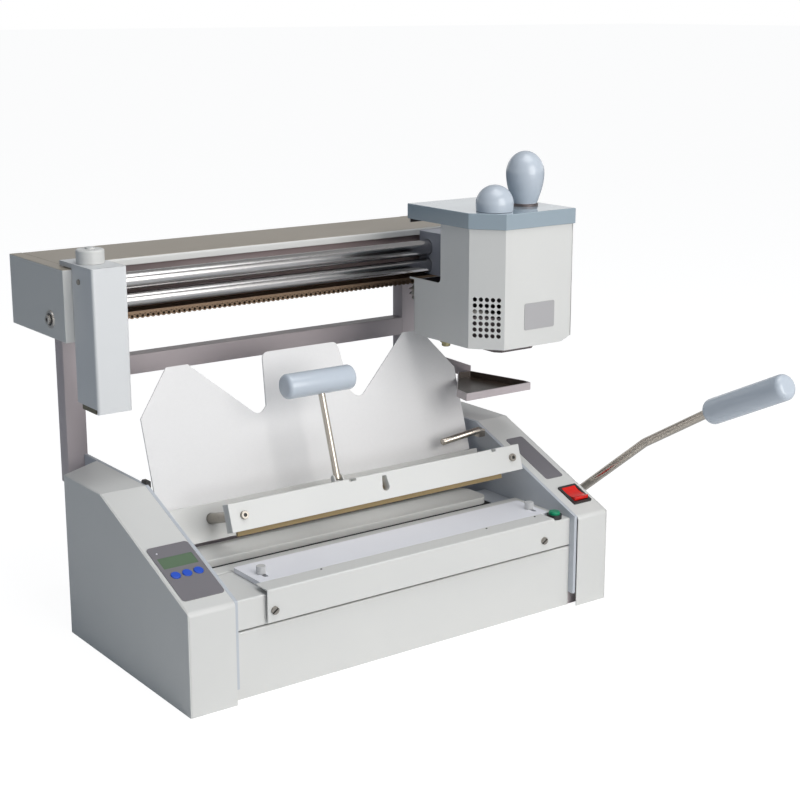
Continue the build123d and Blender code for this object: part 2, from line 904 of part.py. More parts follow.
# Drip tray with its bracket to the right column
tray_right = right_face
tray_left = left_face + tray_start
with BuildPart() as drip_tray:
    with BuildSketch(Plane.XY.offset(tray_bottom)):
        with BuildLine():
            Polyline(
                (tray_left, front_face + tray_front),
                (tray_right, front_face + tray_front),
                (tray_right - tray_right_back_inset, front_face + tray_back),
                (left_face + tray_back_x, front_face + tray_back),
                (left_face + tray_waist_x, front_face + tray_waist_back),
                (tray_left, front_face + tray_left_back),
                close=True,
            )
        make_face()
    extrude(amount=tray_depth)
    offset(amount=-tray_sheet, openings=drip_tray.faces().sort_by(Axis.Z)[-1])
    bracket_x = right_column_x + column_width
    waist_x = left_face + tray_waist_x
    waist_y = front_face + tray_waist_back
    corner_x = left_face + tray_back_x
    corner_y = front_face + tray_back
    bracket_corner_y = waist_y + (bracket_x - waist_x) * (corner_y - waist_y) / (corner_x - waist_x)
    extrude(
        folded_sheet(
            Plane.XY.offset(tray_bottom),
            [(waist_x, waist_y), (bracket_x, bracket_corner_y), (bracket_x, column_back)],
            2 * bracket_sheet, bracket_sheet, Side.RIGHT,
        ),
        amount=bracket_height,
    )
drip_tray.part.label = "drip_tray"
export_step(drip_tray.part, "parts/drip_tray.step")

# Rest bar on its block at the right inner plate
rest_bar_y = front_face + rest_bar_setback
bar_end = (right_plate_face - rest_block_width, rest_bar_y, rest_bar_height)
bar_tip = (left_face + rest_bar_start, rest_bar_y, rest_bar_height - rest_bar_drop)
bar_length = Vector(*bar_end).sub(Vector(*bar_tip)).length
bar_direction = Vector(*bar_tip).sub(Vector(*bar_end))
with BuildPart() as rest_bar:
    with BuildSketch(Plane(origin=bar_end, z_dir=bar_direction)):
        Circle(rest_bar_diameter / 2)
    extrude(amount=bar_length)
    chamfer(rest_bar.faces().sort_by(Axis.X)[0].edges(), 1)
    with BuildSketch(Plane.YZ.offset(right_plate_face - rest_block_width)):
        with Locations((rest_bar_y + rest_bar_diameter / 2, rest_bar_height - rest_bar_diameter / 2)):
            Rectangle(rest_block_depth, rest_block_height)
    extrude(amount=rest_block_width)
rest_bar.part.label = "rest_bar"
export_step(rest_bar.part, "parts/rest_bar.step")

# Case screws: two through the front rail and its spacers, one with a washer on each end cap
rail_back_face = rail_front + panel_sheet
with BuildPart() as case_screws:
    with BuildSketch(Plane.XZ.offset(-rail_front)):
        with Locations(*[(x, rail_screw_height) for x in rail_screw_xs]):
            Circle(rail_screw_head / 2)
    extrude(amount=cap_screw_rise)
    with BuildSketch(Plane.XZ.offset(-rail_front)):
        with Locations(*[(x, rail_screw_height) for x in rail_screw_xs]):
            Circle(rail_screw_diameter / 2)
    extrude(amount=-panel_sheet)
    with BuildSketch(Plane.XZ.offset(-rail_back_face)):
        with Locations(*[(x, rail_screw_height) for x in rail_screw_xs]):
            Circle(rail_screw_head / 2)
    extrude(amount=-(panel_front - rail_back_face))
    cap_screw_y = front_face + cap_screw_setback
    for face, outward in ((left_face, -1), (right_face, 1)):
        with BuildSketch(Plane.YZ.offset(face)):
            with Locations((cap_screw_y, cap_screw_height)):
                Circle(washer_diameter / 2)
        extrude(amount=outward * washer_thickness)
        with BuildSketch(Plane.YZ.offset(face + outward * washer_thickness)):
            with Locations((cap_screw_y, cap_screw_height)):
                RegularPolygon(cap_screw_head / 2, 6)
        extrude(amount=outward * cap_screw_rise)
case_screws.part.label = "case_screws"
export_step(case_screws.part, "parts/case_screws.step")

# Control plate on the left slope, with its window and three buttons
window_x = left_face + control_inset + window_inset
with BuildPart() as control_plate:
    with BuildSketch(slope_plane(left_face + control_inset)):
        with Locations((control_width / 2, control_start + control_length / 2)):
            RectangleRounded(control_width, control_length, control_corner)
        with Locations((control_width / 2, window_start + window_length / 2)):
            Rectangle(control_width - 2 * window_margin, window_length, mode=Mode.SUBTRACT)
        with Locations(*[(x - left_face - control_inset, blue_button_start) for x in blue_button_xs]):
            Circle(blue_button_diameter / 2 + running_gap, mode=Mode.SUBTRACT)
    extrude(amount=control_sheet)
control_plate.part.label = "control_plate"
export_step(control_plate.part, "parts/control_plate.step")

with BuildPart() as display_window:
    with BuildSketch(slope_plane(left_face + control_inset)):
        with Locations((control_width / 2, window_start + window_length / 2)):
            Rectangle(control_width - 2 * window_margin, window_length)
    extrude(amount=control_sheet * 0.75)
display_window.part.label = "display_window"
export_step(display_window.part, "parts/display_window.step")

for number, x in enumerate(blue_button_xs, start=1):
    with BuildPart() as blue_button:
        with BuildSketch(slope_plane(x).offset(-blue_button_depth)):
            with Locations((0, blue_button_start)):
                Circle(blue_button_diameter / 2)
        extrude(amount=blue_button_depth + blue_button_rise)
        fillet(blue_button.faces().sort_by(Axis.Z)[-1].edges(), 0.6)
    blue_button.part.label = f"blue_button_{number}"
    export_step(blue_button.part, f"parts/blue_button_{number}.step")

# Power switch: a bezel cup in the right slope and the rocker in it
opening_width = bezel_width - 2 * bezel_frame
opening_length = bezel_length - 2 * bezel_frame
bezel_plane = slope_plane(bezel_x)
with BuildPart() as switch_bezel:
    with BuildSketch(bezel_plane):
        with Locations((0, bezel_start)):
            RectangleRounded(bezel_width, bezel_length, 1.5)
    extrude(amount=bezel_rise)
    with BuildSketch(bezel_plane):
        with Locations((0, bezel_start)):
            Rectangle(switch_hole_width, switch_hole_length)
    extrude(amount=-bezel_body_depth)
    with BuildSketch(bezel_plane.offset(bezel_rise)):
        with Locations((0, bezel_start)):
            Rectangle(opening_width, opening_length)
    extrude(amount=-(bezel_rise + bezel_body_depth - bezel_frame / 2), mode=Mode.SUBTRACT)
switch_bezel.part.label = "switch_bezel"
export_step(switch_bezel.part, "parts/switch_bezel.step")

rocker_width = opening_width - 2 * part_gap
rocker_half = opening_length / 2 - 1
rocker_origin = slope_plane(bezel_x - rocker_width / 2).from_local_coords((0, bezel_start, 0))
rocker_angle = radians(slope_angle - rocker_rest_tilt)
rocker_plane = Plane(origin=rocker_origin, x_dir=(0, cos(rocker_angle), sin(rocker_angle)), z_dir=(1, 0, 0))
with BuildPart() as power_rocker:
    with BuildSketch(rocker_plane):
        with BuildLine():
            Polyline((-rocker_half, rocker_rise), (-rocker_half, 0), (0, -rocker_depth),
                     (rocker_half, 0), (rocker_half, rocker_rise))
            ThreePointArc((rocker_half, rocker_rise), (0, rocker_dip), (-rocker_half, rocker_rise))
        make_face()
    extrude(amount=rocker_width)
power_rocker.part.label = "power_rocker"
export_step(power_rocker.part, "parts/power_rocker.step")

# Glue head: its plan, with the front left corner cut off
head_front_y = front_face + head_front
head_back_y = front_face + head_back
notch_y = front_face + notch_front
carrier_left = right_face - carrier_right_inset - carrier_width
sprocket_radius = chain_pitch / (2 * sin(pi / sprocket_teeth))
sprocket_z = chain_height - sprocket_radius
hinge_y = head_back_y + lid_overhang + hinge_radius + 0.1
hinge_z = head_top + running_gap
hinge_length = 3 * knuckle_length + 2 * knuckle_gap
hinge_xs = [head_left + head_width / 4, right_face - head_width / 4]


def head_plan(back_y):
    """Outline of the head from its front wall to back_y."""
    Polyline(
        (head_left, head_front_y + head_corner_y),
        (head_left + head_corner_x, head_front_y),
        (right_face, head_front_y),
        (right_face, back_y),
        (head_left, back_y),
        close=True,
    )


with BuildPart() as head_housing:
    with BuildSketch(Plane.XY.offset(head_bottom)):
        with BuildLine():
            head_plan(front_face + head_low_back)
        make_face()
    extrude(amount=head_top - head_bottom)
    with BuildSketch(Plane.XY.offset(head_step_height)):
        with BuildLine():
            head_plan(head_back_y)
        make_face()
    extrude(amount=head_top - head_step_height)
    top_face = head_housing.faces().sort_by(Axis.Z)[-1]
    under_face = head_housing.faces().sort_by(Axis.Z)[0]
    offset(amount=-head_sheet, openings=[top_face, under_face])
    with BuildSketch(Plane.YZ.offset(head_left)) as notch:
        with Locations(((notch_y + head_back_y) / 2, (notch_bottom + head_top) / 2)):
            Rectangle(head_back_y - notch_y, head_top - notch_bottom)
        fillet(notch.vertices().sort_by_distance((notch_y, notch_bottom))[0], notch_corner)
    extrude(amount=head_sheet, mode=Mode.SUBTRACT)
    with BuildSketch(Plane.XZ.offset(-head_back_y)):
        rear_notch_top = head_top - notch_rail
        with Locations(((head_left + carrier_left) / 2, (notch_bottom + rear_notch_top) / 2)):
            Rectangle(carrier_left - head_left, rear_notch_top - notch_bottom)
    extrude(amount=head_sheet, mode=Mode.SUBTRACT)
    with BuildSketch(Plane.XZ.offset(-front_face - head_low_back)):
        with Locations((sprocket_x, sprocket_z)):
            Circle(spindle_diameter / 2 + running_gap)
    extrude(amount=head_sheet, mode=Mode.SUBTRACT)
    with BuildSketch(Plane.XZ.offset(-head_front_y)):
        with BuildLine():
            Polyline(
                (right_face - lower_corner_cut_x, head_bottom),
                (right_face, head_bottom + lower_corner_cut_z),
                (right_face, head_bottom),
                close=True,
            )
        make_face()
    extrude(amount=-(head_back_y - head_front_y), mode=Mode.SUBTRACT)
    for x in hinge_xs:
        for start in (x - hinge_length / 2, x + hinge_length / 2 - knuckle_length):
            with BuildSketch(Plane.YZ.offset(start)):
                with Locations((hinge_y, hinge_z)):
                    Circle(hinge_radius)
                with Locations((head_back_y, hinge_z - hinge_radius)):
                    Rectangle(hinge_y - head_back_y, hinge_leaf, align=(Align.MIN, Align.MIN))
            extrude(amount=knuckle_length)
        with BuildSketch(Plane.YZ.offset(x - hinge_length / 2)):
            with Locations((hinge_y, hinge_z)):
                Circle(hinge_pin_radius)
            with Locations((head_back_y, hinge_z - hinge_radius + hinge_leaf)):
                Rectangle(hinge_leaf, knuckle_length, align=(Align.MIN, Align.MAX))
        extrude(amount=hinge_length)
head_housing.part.label = "head_housing"
export_step(head_housing.part, "parts/head_housing.step")

# Carrier block that rides on both guide shafts
shaft_bores = [
    (upper_shaft_height, upper_shaft_diameter / 2 + running_gap),
    (lower_shaft_height, lower_shaft_diameter / 2 + running_gap),
]
with BuildPart() as head_carrier:
    with BuildSketch(Plane.YZ.offset(carrier_left)) as section:
        with Locations(((head_back_y + front_face + carrier_back) / 2, (carrier_bottom + carrier_top) / 2)):
            Rectangle(front_face + carrier_back - head_back_y, carrier_top - carrier_bottom)
        for height, radius in shaft_bores:
            with Locations((shaft_y, height)):
                Circle(radius, mode=Mode.SUBTRACT)
    extrude(amount=carrier_width)
head_carrier.part.label = "head_carrier"
export_step(head_carrier.part, "parts/head_carrier.step")

# Lid of the glue head, a shallow moulding on two hinges
with BuildPart() as head_lid:
    with BuildSketch(Plane.XY.offset(hinge_z)):
        with BuildLine():
            head_plan(head_back_y)
        make_face()
        offset(amount=lid_overhang, kind=Kind.INTERSECTION)
    extrude(amount=lid_height)
    fillet(head_lid.faces().sort_by(Axis.Z)[-1].edges(), lid_edge)
    offset(amount=-head_sheet, openings=head_lid.faces().sort_by(Axis.Z)[0])
    for x in hinge_xs:
        with BuildSketch(Plane.YZ.offset(x - knuckle_length / 2)):
            with Locations((hinge_y, hinge_z)):
                Circle(hinge_radius)
            with Locations((head_back_y + lid_overhang, hinge_z)):
                Rectangle(hinge_y - head_back_y - lid_overhang, hinge_radius, align=(Align.MIN, Align.MIN))
            with Locations((hinge_y, hinge_z)):
                Circle(hinge_pin_radius + running_gap, mode=Mode.SUBTRACT)
        extrude(amount=knuckle_length)
head_lid.part.label = "head_lid"
export_step(head_lid.part, "parts/head_lid.step")

# Push handle with the ring at its foot, and the short ball knob
lid_top = hinge_z + lid_height
handle_x = right_face - handle_from_right
handle_y = front_face + handle_setback
handle_plane = Plane(origin=(handle_x, handle_y, lid_top), x_dir=(1, 0, 0), z_dir=(0, -1, 0))
with BuildPart() as push_handle:
    with BuildSketch(handle_plane):
        with BuildLine():
            neck_radius = handle_neck_diameter / 2
            Polyline(
                (0, 0),
                (neck_radius + ring_lip, 0),
                (neck_radius + ring_lip, ring_height),
                (neck_radius, ring_height),
            )
            Spline(
                (neck_radius, ring_height),
                (handle_diameter / 2, belly_height),
                (0, handle_height),
                tangents=[(0, 1), (-1, 0)],
            )
            Line((0, handle_height), (0, 0))
        make_face()
    revolve(axis=Axis((handle_x, handle_y, 0), (0, 0, 1)))
push_handle.part.label = "push_handle"
export_step(push_handle.part, "parts/push_handle.step")

knob_x = right_face - knob_from_right
knob_y = front_face + knob_setback
knob_plane = Plane(origin=(knob_x, knob_y, lid_top + part_gap), x_dir=(1, 0, 0), z_dir=(0, -1, 0))
with BuildPart() as ball_knob:
    with BuildSketch(knob_plane):
        with BuildLine():
            Line((0, 0), (knob_base_diameter / 2, 0))
            Spline(
                (knob_base_diameter / 2, 0),
                (knob_diameter / 2, knob_height * 0.55),
                (0, knob_height),
                tangents=[(0.3, 1), (-1, 0)],
            )
            Line((0, knob_height), (0, 0))
        make_face()
    revolve(axis=Axis((knob_x, knob_y, 0), (0, 0, 1)))
ball_knob.part.label = "ball_knob"
export_step(ball_knob.part, "parts/ball_knob.step")

# Glue tank: an open trough under the head, cut through below for the roller
tank_inset = tank_left - head_left
tank_right = tank_left + tank_length
tank_back_y = front_face + tank_back
gear_centres = gear_teeth * gear_module
roller_z = sprocket_z - gear_centres


def tank_plan(plane, inset, right_x, back_y):
    """Plan inside the head's outline by inset, ended at right_x and back_y."""
    with BuildSketch(plane) as plan:
        with BuildLine():
            head_plan(front_face + head_low_back)
        make_face()
        offset(amount=-inset, kind=Kind.INTERSECTION)
        with Locations((head_left, head_front_y)):
            Rectangle(right_x - head_left, back_y - head_front_y, align=(Align.MIN, Align.MIN),
                      mode=Mode.INTERSECT)
    return plan.sketch


flange_plane = Plane.XY.offset(tank_top - tank_flange)
with BuildPart() as glue_tank:
    extrude(tank_plan(Plane.XY.offset(tank_bottom), tank_inset, tank_right, tank_back_y),
            amount=tank_top - tank_bottom)
    with BuildSketch(Plane.XZ.offset(-head_front_y)):
        with BuildLine():
            Polyline(
                (tank_left, tank_top),
                (tank_left, tank_bottom + tank_corner),
                (tank_left + tank_taper, tank_bottom),
                (tank_right - tank_taper, tank_bottom),
                (tank_right, tank_bottom + tank_corner),
                (tank_right, tank_top),
                close=True,
            )
        make_face()
    extrude(amount=-(tank_back_y - head_front_y), mode=Mode.INTERSECT)
    offset(amount=-tank_wall, openings=glue_tank.faces().sort_by(Axis.Z)[-1])
    extrude(tank_plan(flange_plane, head_sheet, tank_right + tank_flange_reach, tank_back_y + tank_flange_reach),
            amount=tank_flange)
    extrude(tank_plan(flange_plane, tank_inset + tank_wall, tank_right - tank_wall, tank_back_y - tank_wall),
            amount=tank_flange, mode=Mode.SUBTRACT)
    with BuildSketch(Plane.XZ.offset(-head_front_y)):
        with Locations((sprocket_x, roller_z)):
            Circle(spindle_diameter / 2 + running_gap)
    extrude(amount=-(tank_back_y - head_front_y), mode=Mode.SUBTRACT)
    with BuildSketch(Plane.XZ.offset(-head_front_y - tank_inset - tank_wall)):
        with Locations((sprocket_x, roller_z)):
            Circle(roller_radius + 2 * running_gap)
    extrude(amount=-(tank_back_y - head_front_y - tank_inset - 2 * tank_wall), mode=Mode.SUBTRACT)
glue_tank.part.label = "glue_tank"
export_step(glue_tank.part, "parts/glue_tank.step")


def wheel_teeth(count, inner_radius, first_angle, half_profile):
    """Teeth round a wheel, each drawn from half of its outline (radius, half width)."""
    outline = [(radius - inner_radius, half) for radius, half in half_profile]
    mirrored = [(x, -half) for x, half in reversed(outline)]
    with PolarLocations(inner_radius, count, start_angle=first_angle):
        Polygon(*outline, *mirrored, align=None)


def gear_sketch(first_angle):
    """Spur gear of the head's drive, with straight-sided teeth and backlash."""
    pitch_radius = gear_teeth * gear_module / 2
    root = pitch_radius - 1.3 * gear_module
    half = (pi * gear_module / 2 - gear_backlash) / 2
    slope = tan(radians(20))
    Circle(root)
    wheel_teeth(
        gear_teeth, root - 0.3, first_angle,
        [(root - 0.3, half + 1.3 * slope), (root, half + 1.3 * slope),
         (pitch_radius + 0.9 * gear_module, half - 0.9 * slope)],
    )


gear_y = front_face + gear_setback
with BuildPart() as drive_sprocket:
    with BuildSketch(Plane.XZ.offset(-shaft_y - sprocket_width / 2)) as wheel:
        root_radius = sprocket_radius - roller_diameter / 2 - tooth_clearance
        pitch_half = (chain_pitch - roller_diameter) / 2 - tooth_clearance
        with Locations((sprocket_x, sprocket_z)):
            Circle(root_radius)
            wheel_teeth(
                sprocket_teeth, root_radius - 0.3, 90 + 180 / sprocket_teeth,
                [(root_radius - 0.3, 1.8 * pitch_half), (root_radius, 1.7 * pitch_half),
                 (sprocket_radius, pitch_half), (sprocket_radius + tooth_rise, pitch_half / 2)],
            )
    extrude(amount=sprocket_width)
    with BuildSketch(Plane.XZ.offset(-gear_y)):
        with Locations((sprocket_x, sprocket_z)):
            gear_sketch(0)
    extrude(amount=-gear_width)
    with BuildSketch(Plane.XZ.offset(-gear_y)):
        with Locations((sprocket_x, sprocket_z)):
            Circle(spindle_diameter / 2)
    extrude(amount=-(shaft_y - gear_y))
drive_sprocket.part.label = "drive_sprocket"
export_step(drive_sprocket.part, "parts/drive_sprocket.step")

# Glue roller on its spindle, with the gear that meshes below the sprocket's
roller_front_y = head_front_y + tank_inset + tank_wall + roller_front_gap
with BuildPart() as glue_roller:
    with BuildSketch(Plane.XZ.offset(-roller_front_y)):
        with Locations((sprocket_x, roller_z)):
            Circle(roller_radius)
    extrude(amount=-(tank_back_y - tank_wall - roller_end_gap - roller_front_y))
    with BuildSketch(Plane.XZ.offset(-gear_y)):
        with Locations((sprocket_x, roller_z)):
            gear_sketch(180 / gear_teeth)
    extrude(amount=-gear_width)
    spindle_front_y = head_front_y + tank_inset + running_gap
    with BuildSketch(Plane.XZ.offset(-spindle_front_y)):
        with Locations((sprocket_x, roller_z)):
            Circle(spindle_diameter / 2)
    extrude(amount=-(gear_y + gear_width - spindle_front_y))
glue_roller.part.label = "glue_roller"
export_step(glue_roller.part, "parts/glue_roller.step")

# Milling carriage: a housing open below, its bearing block and its cap plate
carriage_left = left_face + carriage_inset
carriage_right = carriage_left + carriage_width
carriage_front_y = front_face + carriage_front
carriage_back_y = beam_front_y - part_gap
cutter_x = carriage_left + carriage_width / 2
cutter_y = front_face + cutter_setback
with BuildPart() as carriage_body:
    with BuildSketch(Plane.XY.offset(carriage_bottom - carriage_skirt)):
        with Locations((cutter_x, (carriage_front_y + carriage_back_y) / 2)):
            Rectangle(carriage_width, carriage_back_y - carriage_front_y)
    extrude(amount=carriage_top - carriage_bottom + carriage_skirt)
    upright_edges = carriage_body.edges().filter_by(Axis.Z).group_by(Axis.Y)[0]
    fillet(upright_edges, carriage_edge)
    offset(amount=-carriage_wall, openings=carriage_body.faces().sort_by(Axis.Z)[0])
    with BuildSketch(Plane.XY.offset(carriage_bottom - carriage_skirt)):
        with Locations((cutter_x, carriage_front_y + carriage_wall)):
            Rectangle(carriage_width, carriage_back_y - carriage_front_y, align=(Align.CENTER, Align.MIN))
    extrude(amount=carriage_skirt, mode=Mode.SUBTRACT)
    with BuildSketch(Plane.XY.offset(cutter_web_bottom)):
        with Locations((cutter_x, (carriage_front_y + carriage_back_y) / 2)):
            Rectangle(carriage_width - 2 * carriage_wall, carriage_back_y - carriage_front_y - 2 * carriage_wall)
        with Locations((cutter_x, cutter_y)):
            Circle(cutter_spindle / 2 + running_gap, mode=Mode.SUBTRACT)
    extrude(amount=carriage_wall)
    with BuildSketch(Plane.YZ.offset(left_face + carriage_block_start)):
        block_back_y = front_face + carriage_block_back
        with Locations(((carriage_back_y + block_back_y) / 2, (carrier_bottom + carrier_top) / 2)):
            Rectangle(block_back_y - carriage_back_y, carrier_top - carrier_bottom)
        for height, radius in shaft_bores:
            with Locations((shaft_y, height)):
                Circle(radius, mode=Mode.SUBTRACT)
    extrude(amount=carriage_inset + carriage_width - carriage_block_start)
    with BuildSketch(Plane.XY.offset(carriage_top - carriage_cap_thickness)):
        cap_back_y = front_face + carriage_cap_back
        with Locations((cutter_x, (carriage_back_y - carriage_wall + cap_back_y) / 2)):
            Rectangle(carriage_width, cap_back_y - carriage_back_y + carriage_wall)
    extrude(amount=carriage_cap_thickness)
    cap_knob_y = front_face + cap_knob_setback
    with Locations((left_face + cap_knob_x, cap_knob_y, carriage_top)):
        Hole(cap_knob_stem / 2 + running_gap, depth=carriage_cap_thickness)
carriage_body.part.label = "carriage_body"
export_step(carriage_body.part, "parts/carriage_body.step")

# Milling cutter with its spindle
with BuildPart() as milling_cutter:
    with BuildSketch(Plane.XY.offset(cutter_bottom)):
        with Locations((cutter_x, cutter_y)):
            Circle(cutter_diameter / 2)
            with PolarLocations(cutter_diameter / 2, cutter_teeth):
                Polygon((-3, 0), (1, 0), (1, 3), align=None, mode=Mode.SUBTRACT)
    extrude(amount=cutter_thickness)
    with BuildSketch(Plane.XY.offset(cutter_bottom)):
        with Locations((cutter_x, cutter_y)):
            Circle(cutter_spindle / 2)
    extrude(amount=cutter_web_bottom + 4 * carriage_wall - cutter_bottom)
milling_cutter.part.label = "milling_cutter"
export_step(milling_cutter.part, "parts/milling_cutter.step")

# Cap knob on the carriage
with BuildPart() as cap_knob:
    with BuildSketch(Plane.XY.offset(carriage_top + part_gap)):
        with Locations((left_face + cap_knob_x, cap_knob_y)):
            Circle(cap_knob_diameter / 2)
    extrude(amount=cap_knob_height)
    fillet(cap_knob.faces().sort_by(Axis.Z)[-1].edges(), 2)
    with BuildSketch(Plane.XY.offset(carriage_top + part_gap + cap_knob_height)):
        with Locations((left_face + cap_knob_x, cap_knob_y)):
            Circle(cap_knob_button / 2)
    extrude(amount=carriage_wall)
    with BuildSketch(Plane.XY.offset(carriage_top + part_gap)):
        with Locations((left_face + cap_knob_x, cap_knob_y)):
            Circle(cap_knob_stem / 2)
    extrude(amount=-2 * carriage_cap_thickness)
cap_knob.part.label = "cap_knob"
export_step(cap_knob.part, "parts/cap_knob.step")

# Backing plate of the clamp, notched at its top
guide_xs = [left_face + guide_left - well_middle, left_face + guide_right - well_middle]
with BuildPart() as backing_plate:
    with BuildSketch(clamp_plane(well_middle, -plate_sheet)) as outline:
        with BuildLine():
            Polyline(
                (0, jaw_low),
                (plate_half_width, jaw_low),
                (plate_half_width, plate_shoulder),
                (peak_outer, plate_peak),
                (peak_inner, plate_peak),
                (valley_half, valley_height),
                (tab_flare, tab_flare_height),
                (tab_half, tab_top),
                (0, tab_top),
            )
            mirror(about=Plane.YZ)
        make_face()
        for side in (-1, 1):
            fillet(outline.vertices().sort_by_distance((side * valley_half, valley_height))[0], valley_radius)
            fillet(outline.vertices().sort_by_distance((side * tab_half, tab_top))[0], tab_corner)
        with Locations(*[(x, guide_height) for x in guide_xs]):
            Circle(guide_diameter / 2 + running_gap, mode=Mode.SUBTRACT)
    extrude(amount=plate_sheet)
backing_plate.part.label = "backing_plate"
export_step(backing_plate.part, "parts/backing_plate.step")

# Back jaw with its two pivots in the inner plates
with BuildPart() as back_jaw:
    with BuildSketch(clamp_plane(well_middle, 0)):
        with Locations((0, (jaw_low + jaw_high) / 2)):
            Rectangle(2 * plate_half_width, jaw_high - jaw_low)
        with Locations(*[(x, guide_height) for x in guide_xs]):
            Circle(guide_diameter / 2 + running_gap, mode=Mode.SUBTRACT)
    extrude(amount=back_jaw_depth)
    pivot_reach = well_width / 2 + plate_thickness - part_gap - plate_half_width
    for side in (-1, 1):
        with BuildSketch(Plane.YZ.offset(well_middle + side * plate_half_width)):
            with Locations((pivot_y, pivot_z)):
                Circle(pivot_diameter / 2)
        extrude(amount=side * pivot_reach)
back_jaw.part.label = "back_jaw"
export_step(back_jaw.part, "parts/back_jaw.step")

# Front jaw with its drop slot, its two notches and the ears for the clamp handle
jaw_left = left_face + front_jaw_start
jaw_right = left_face + front_jaw_end
clamp_x = left_face + clamp_handle_x
second_notch = left_face + second_notch_x
hub_half = ear_thickness
with BuildPart() as front_jaw:
    with BuildSketch(clamp_plane(0, front_jaw_w)) as outline:
        with Locations(((jaw_left + jaw_right) / 2, (front_jaw_low + front_jaw_high) / 2)):
            Rectangle(jaw_right - jaw_left, front_jaw_high - front_jaw_low)
        with Locations((clamp_x, front_jaw_high), (second_notch, front_jaw_high)):
            Rectangle(jaw_notch_width, 2 * jaw_notch_depth, mode=Mode.SUBTRACT)
        with Locations((left_face + drop_slot_x, drop_slot_bottom + drop_slot_radius)):
            Circle(drop_slot_radius, mode=Mode.SUBTRACT)
            Polygon((-drop_slot_radius, 0), (drop_slot_radius, 0), (0, drop_slot_rise),
                    align=None, mode=Mode.SUBTRACT)
    extrude(amount=front_jaw_depth)
    for start in (clamp_x - hub_half - part_gap, clamp_x + hub_half + part_gap + ear_thickness):
        with BuildSketch(clamp_side_plane(start)):
            with Locations((clamp_handle_w, clamp_handle_v)):
                Circle(ear_radius)
            with Locations((front_jaw_w, clamp_handle_v)):
                Rectangle(front_jaw_w - clamp_handle_w + ear_radius, clamp_handle_v - pad_high - ear_gap,
                          align=(Align.MAX, Align.MAX))
        extrude(amount=ear_thickness)
    with BuildSketch(clamp_side_plane(clamp_x + hub_half + part_gap)):
        with Locations((clamp_handle_w, clamp_handle_v)):
            Circle(clamp_pin_diameter / 2)
    extrude(amount=2 * (hub_half + part_gap))
front_jaw.part.label = "front_jaw"
export_step(front_jaw.part, "parts/front_jaw.step")

# Pad on the front jaw, cut for the guide pins
pad_left = left_face + pad_start
pad_right = left_face + pad_end
guide_places = [(left_face + guide_left, guide_height), (left_face + guide_right, guide_height)]
with BuildPart() as jaw_pad:
    with BuildSketch(clamp_plane(0, front_jaw_w - pad_thickness)):
        with Locations(((pad_left + pad_right) / 2, (pad_low + pad_high) / 2)):
            Rectangle(pad_right - pad_left, pad_high - pad_low)
        with Locations(*guide_places):
            Circle(guide_diameter / 2, mode=Mode.SUBTRACT)
    extrude(amount=pad_thickness)
jaw_pad.part.label = "jaw_pad"
export_step(jaw_pad.part, "parts/jaw_pad.step")

# Guide pins from the front jaw through the back jaw, with the bolt heads in front of the jaw
with BuildPart() as guide_pins:
    with BuildSketch(clamp_plane(0, front_jaw_w)):
        with Locations(*guide_places):
            Circle(guide_diameter / 2)
    extrude(amount=-(front_jaw_w + guide_tail))
    chamfer(guide_pins.faces().sort_by(Axis.Y)[-2:].edges(), 1)
    with BuildSketch(clamp_plane(0, front_jaw_w + front_jaw_depth)):
        with Locations(*guide_places):
            Circle(bolt_head_diameter / 2)
    extrude(amount=bolt_head_height)
    with BuildSketch(clamp_plane(0, front_jaw_w + front_jaw_depth + bolt_head_height)):
        with Locations(*guide_places):
            RegularPolygon(bolt_head_diameter / 4, 6)
    extrude(amount=-bolt_head_height * 0.6, mode=Mode.SUBTRACT)
guide_pins.part.label = "guide_pins"
export_step(guide_pins.part, "parts/guide_pins.step")

# Clamp handle: a rod with its hub on the jaw's pin, and the grip across its top
with BuildPart() as clamp_handle_rod:
    with BuildSketch(clamp_side_plane(clamp_x + hub_half)):
        with Locations((clamp_handle_w, clamp_handle_v)):
            Circle(ear_radius)
            Circle(clamp_pin_diameter / 2 + running_gap, mode=Mode.SUBTRACT)
    extrude(amount=2 * hub_half)
    hub_top = clamp_plane(clamp_x, clamp_handle_w).from_local_coords((0, clamp_handle_v + ear_radius - 1, 0))
    with BuildSketch(Plane(origin=hub_top, z_dir=clamp_plane(0, 0).y_dir)):
        Circle(clamp_rod_diameter / 2)
    extrude(amount=clamp_grip_v - clamp_handle_v - ear_radius + 1)
clamp_handle_rod.part.label = "clamp_handle_rod"
export_step(clamp_handle_rod.part, "parts/clamp_handle_rod.step")

grip_centre = clamp_plane(0, clamp_handle_w).from_local_coords((0, clamp_grip_v, 0))
with BuildPart() as clamp_handle_grip:
    with BuildSketch(Plane.YZ.offset(left_face + clamp_grip_start)):
        with Locations((grip_centre.Y, grip_centre.Z)):
            Circle(clamp_grip_diameter / 2)
    extrude(amount=clamp_grip_length)
    fillet(clamp_handle_grip.edges().filter_by(GeomType.CIRCLE), clamp_grip_diameter / 5)
    with BuildSketch(Plane(origin=hub_top, z_dir=clamp_plane(0, 0).y_dir)):
        Circle(clamp_rod_diameter / 2)
    extrude(amount=clamp_grip_v - clamp_handle_v - ear_radius + 1, mode=Mode.SUBTRACT)
clamp_handle_grip.part.label = "clamp_handle_grip"
export_step(clamp_handle_grip.part, "parts/clamp_handle_grip.step")

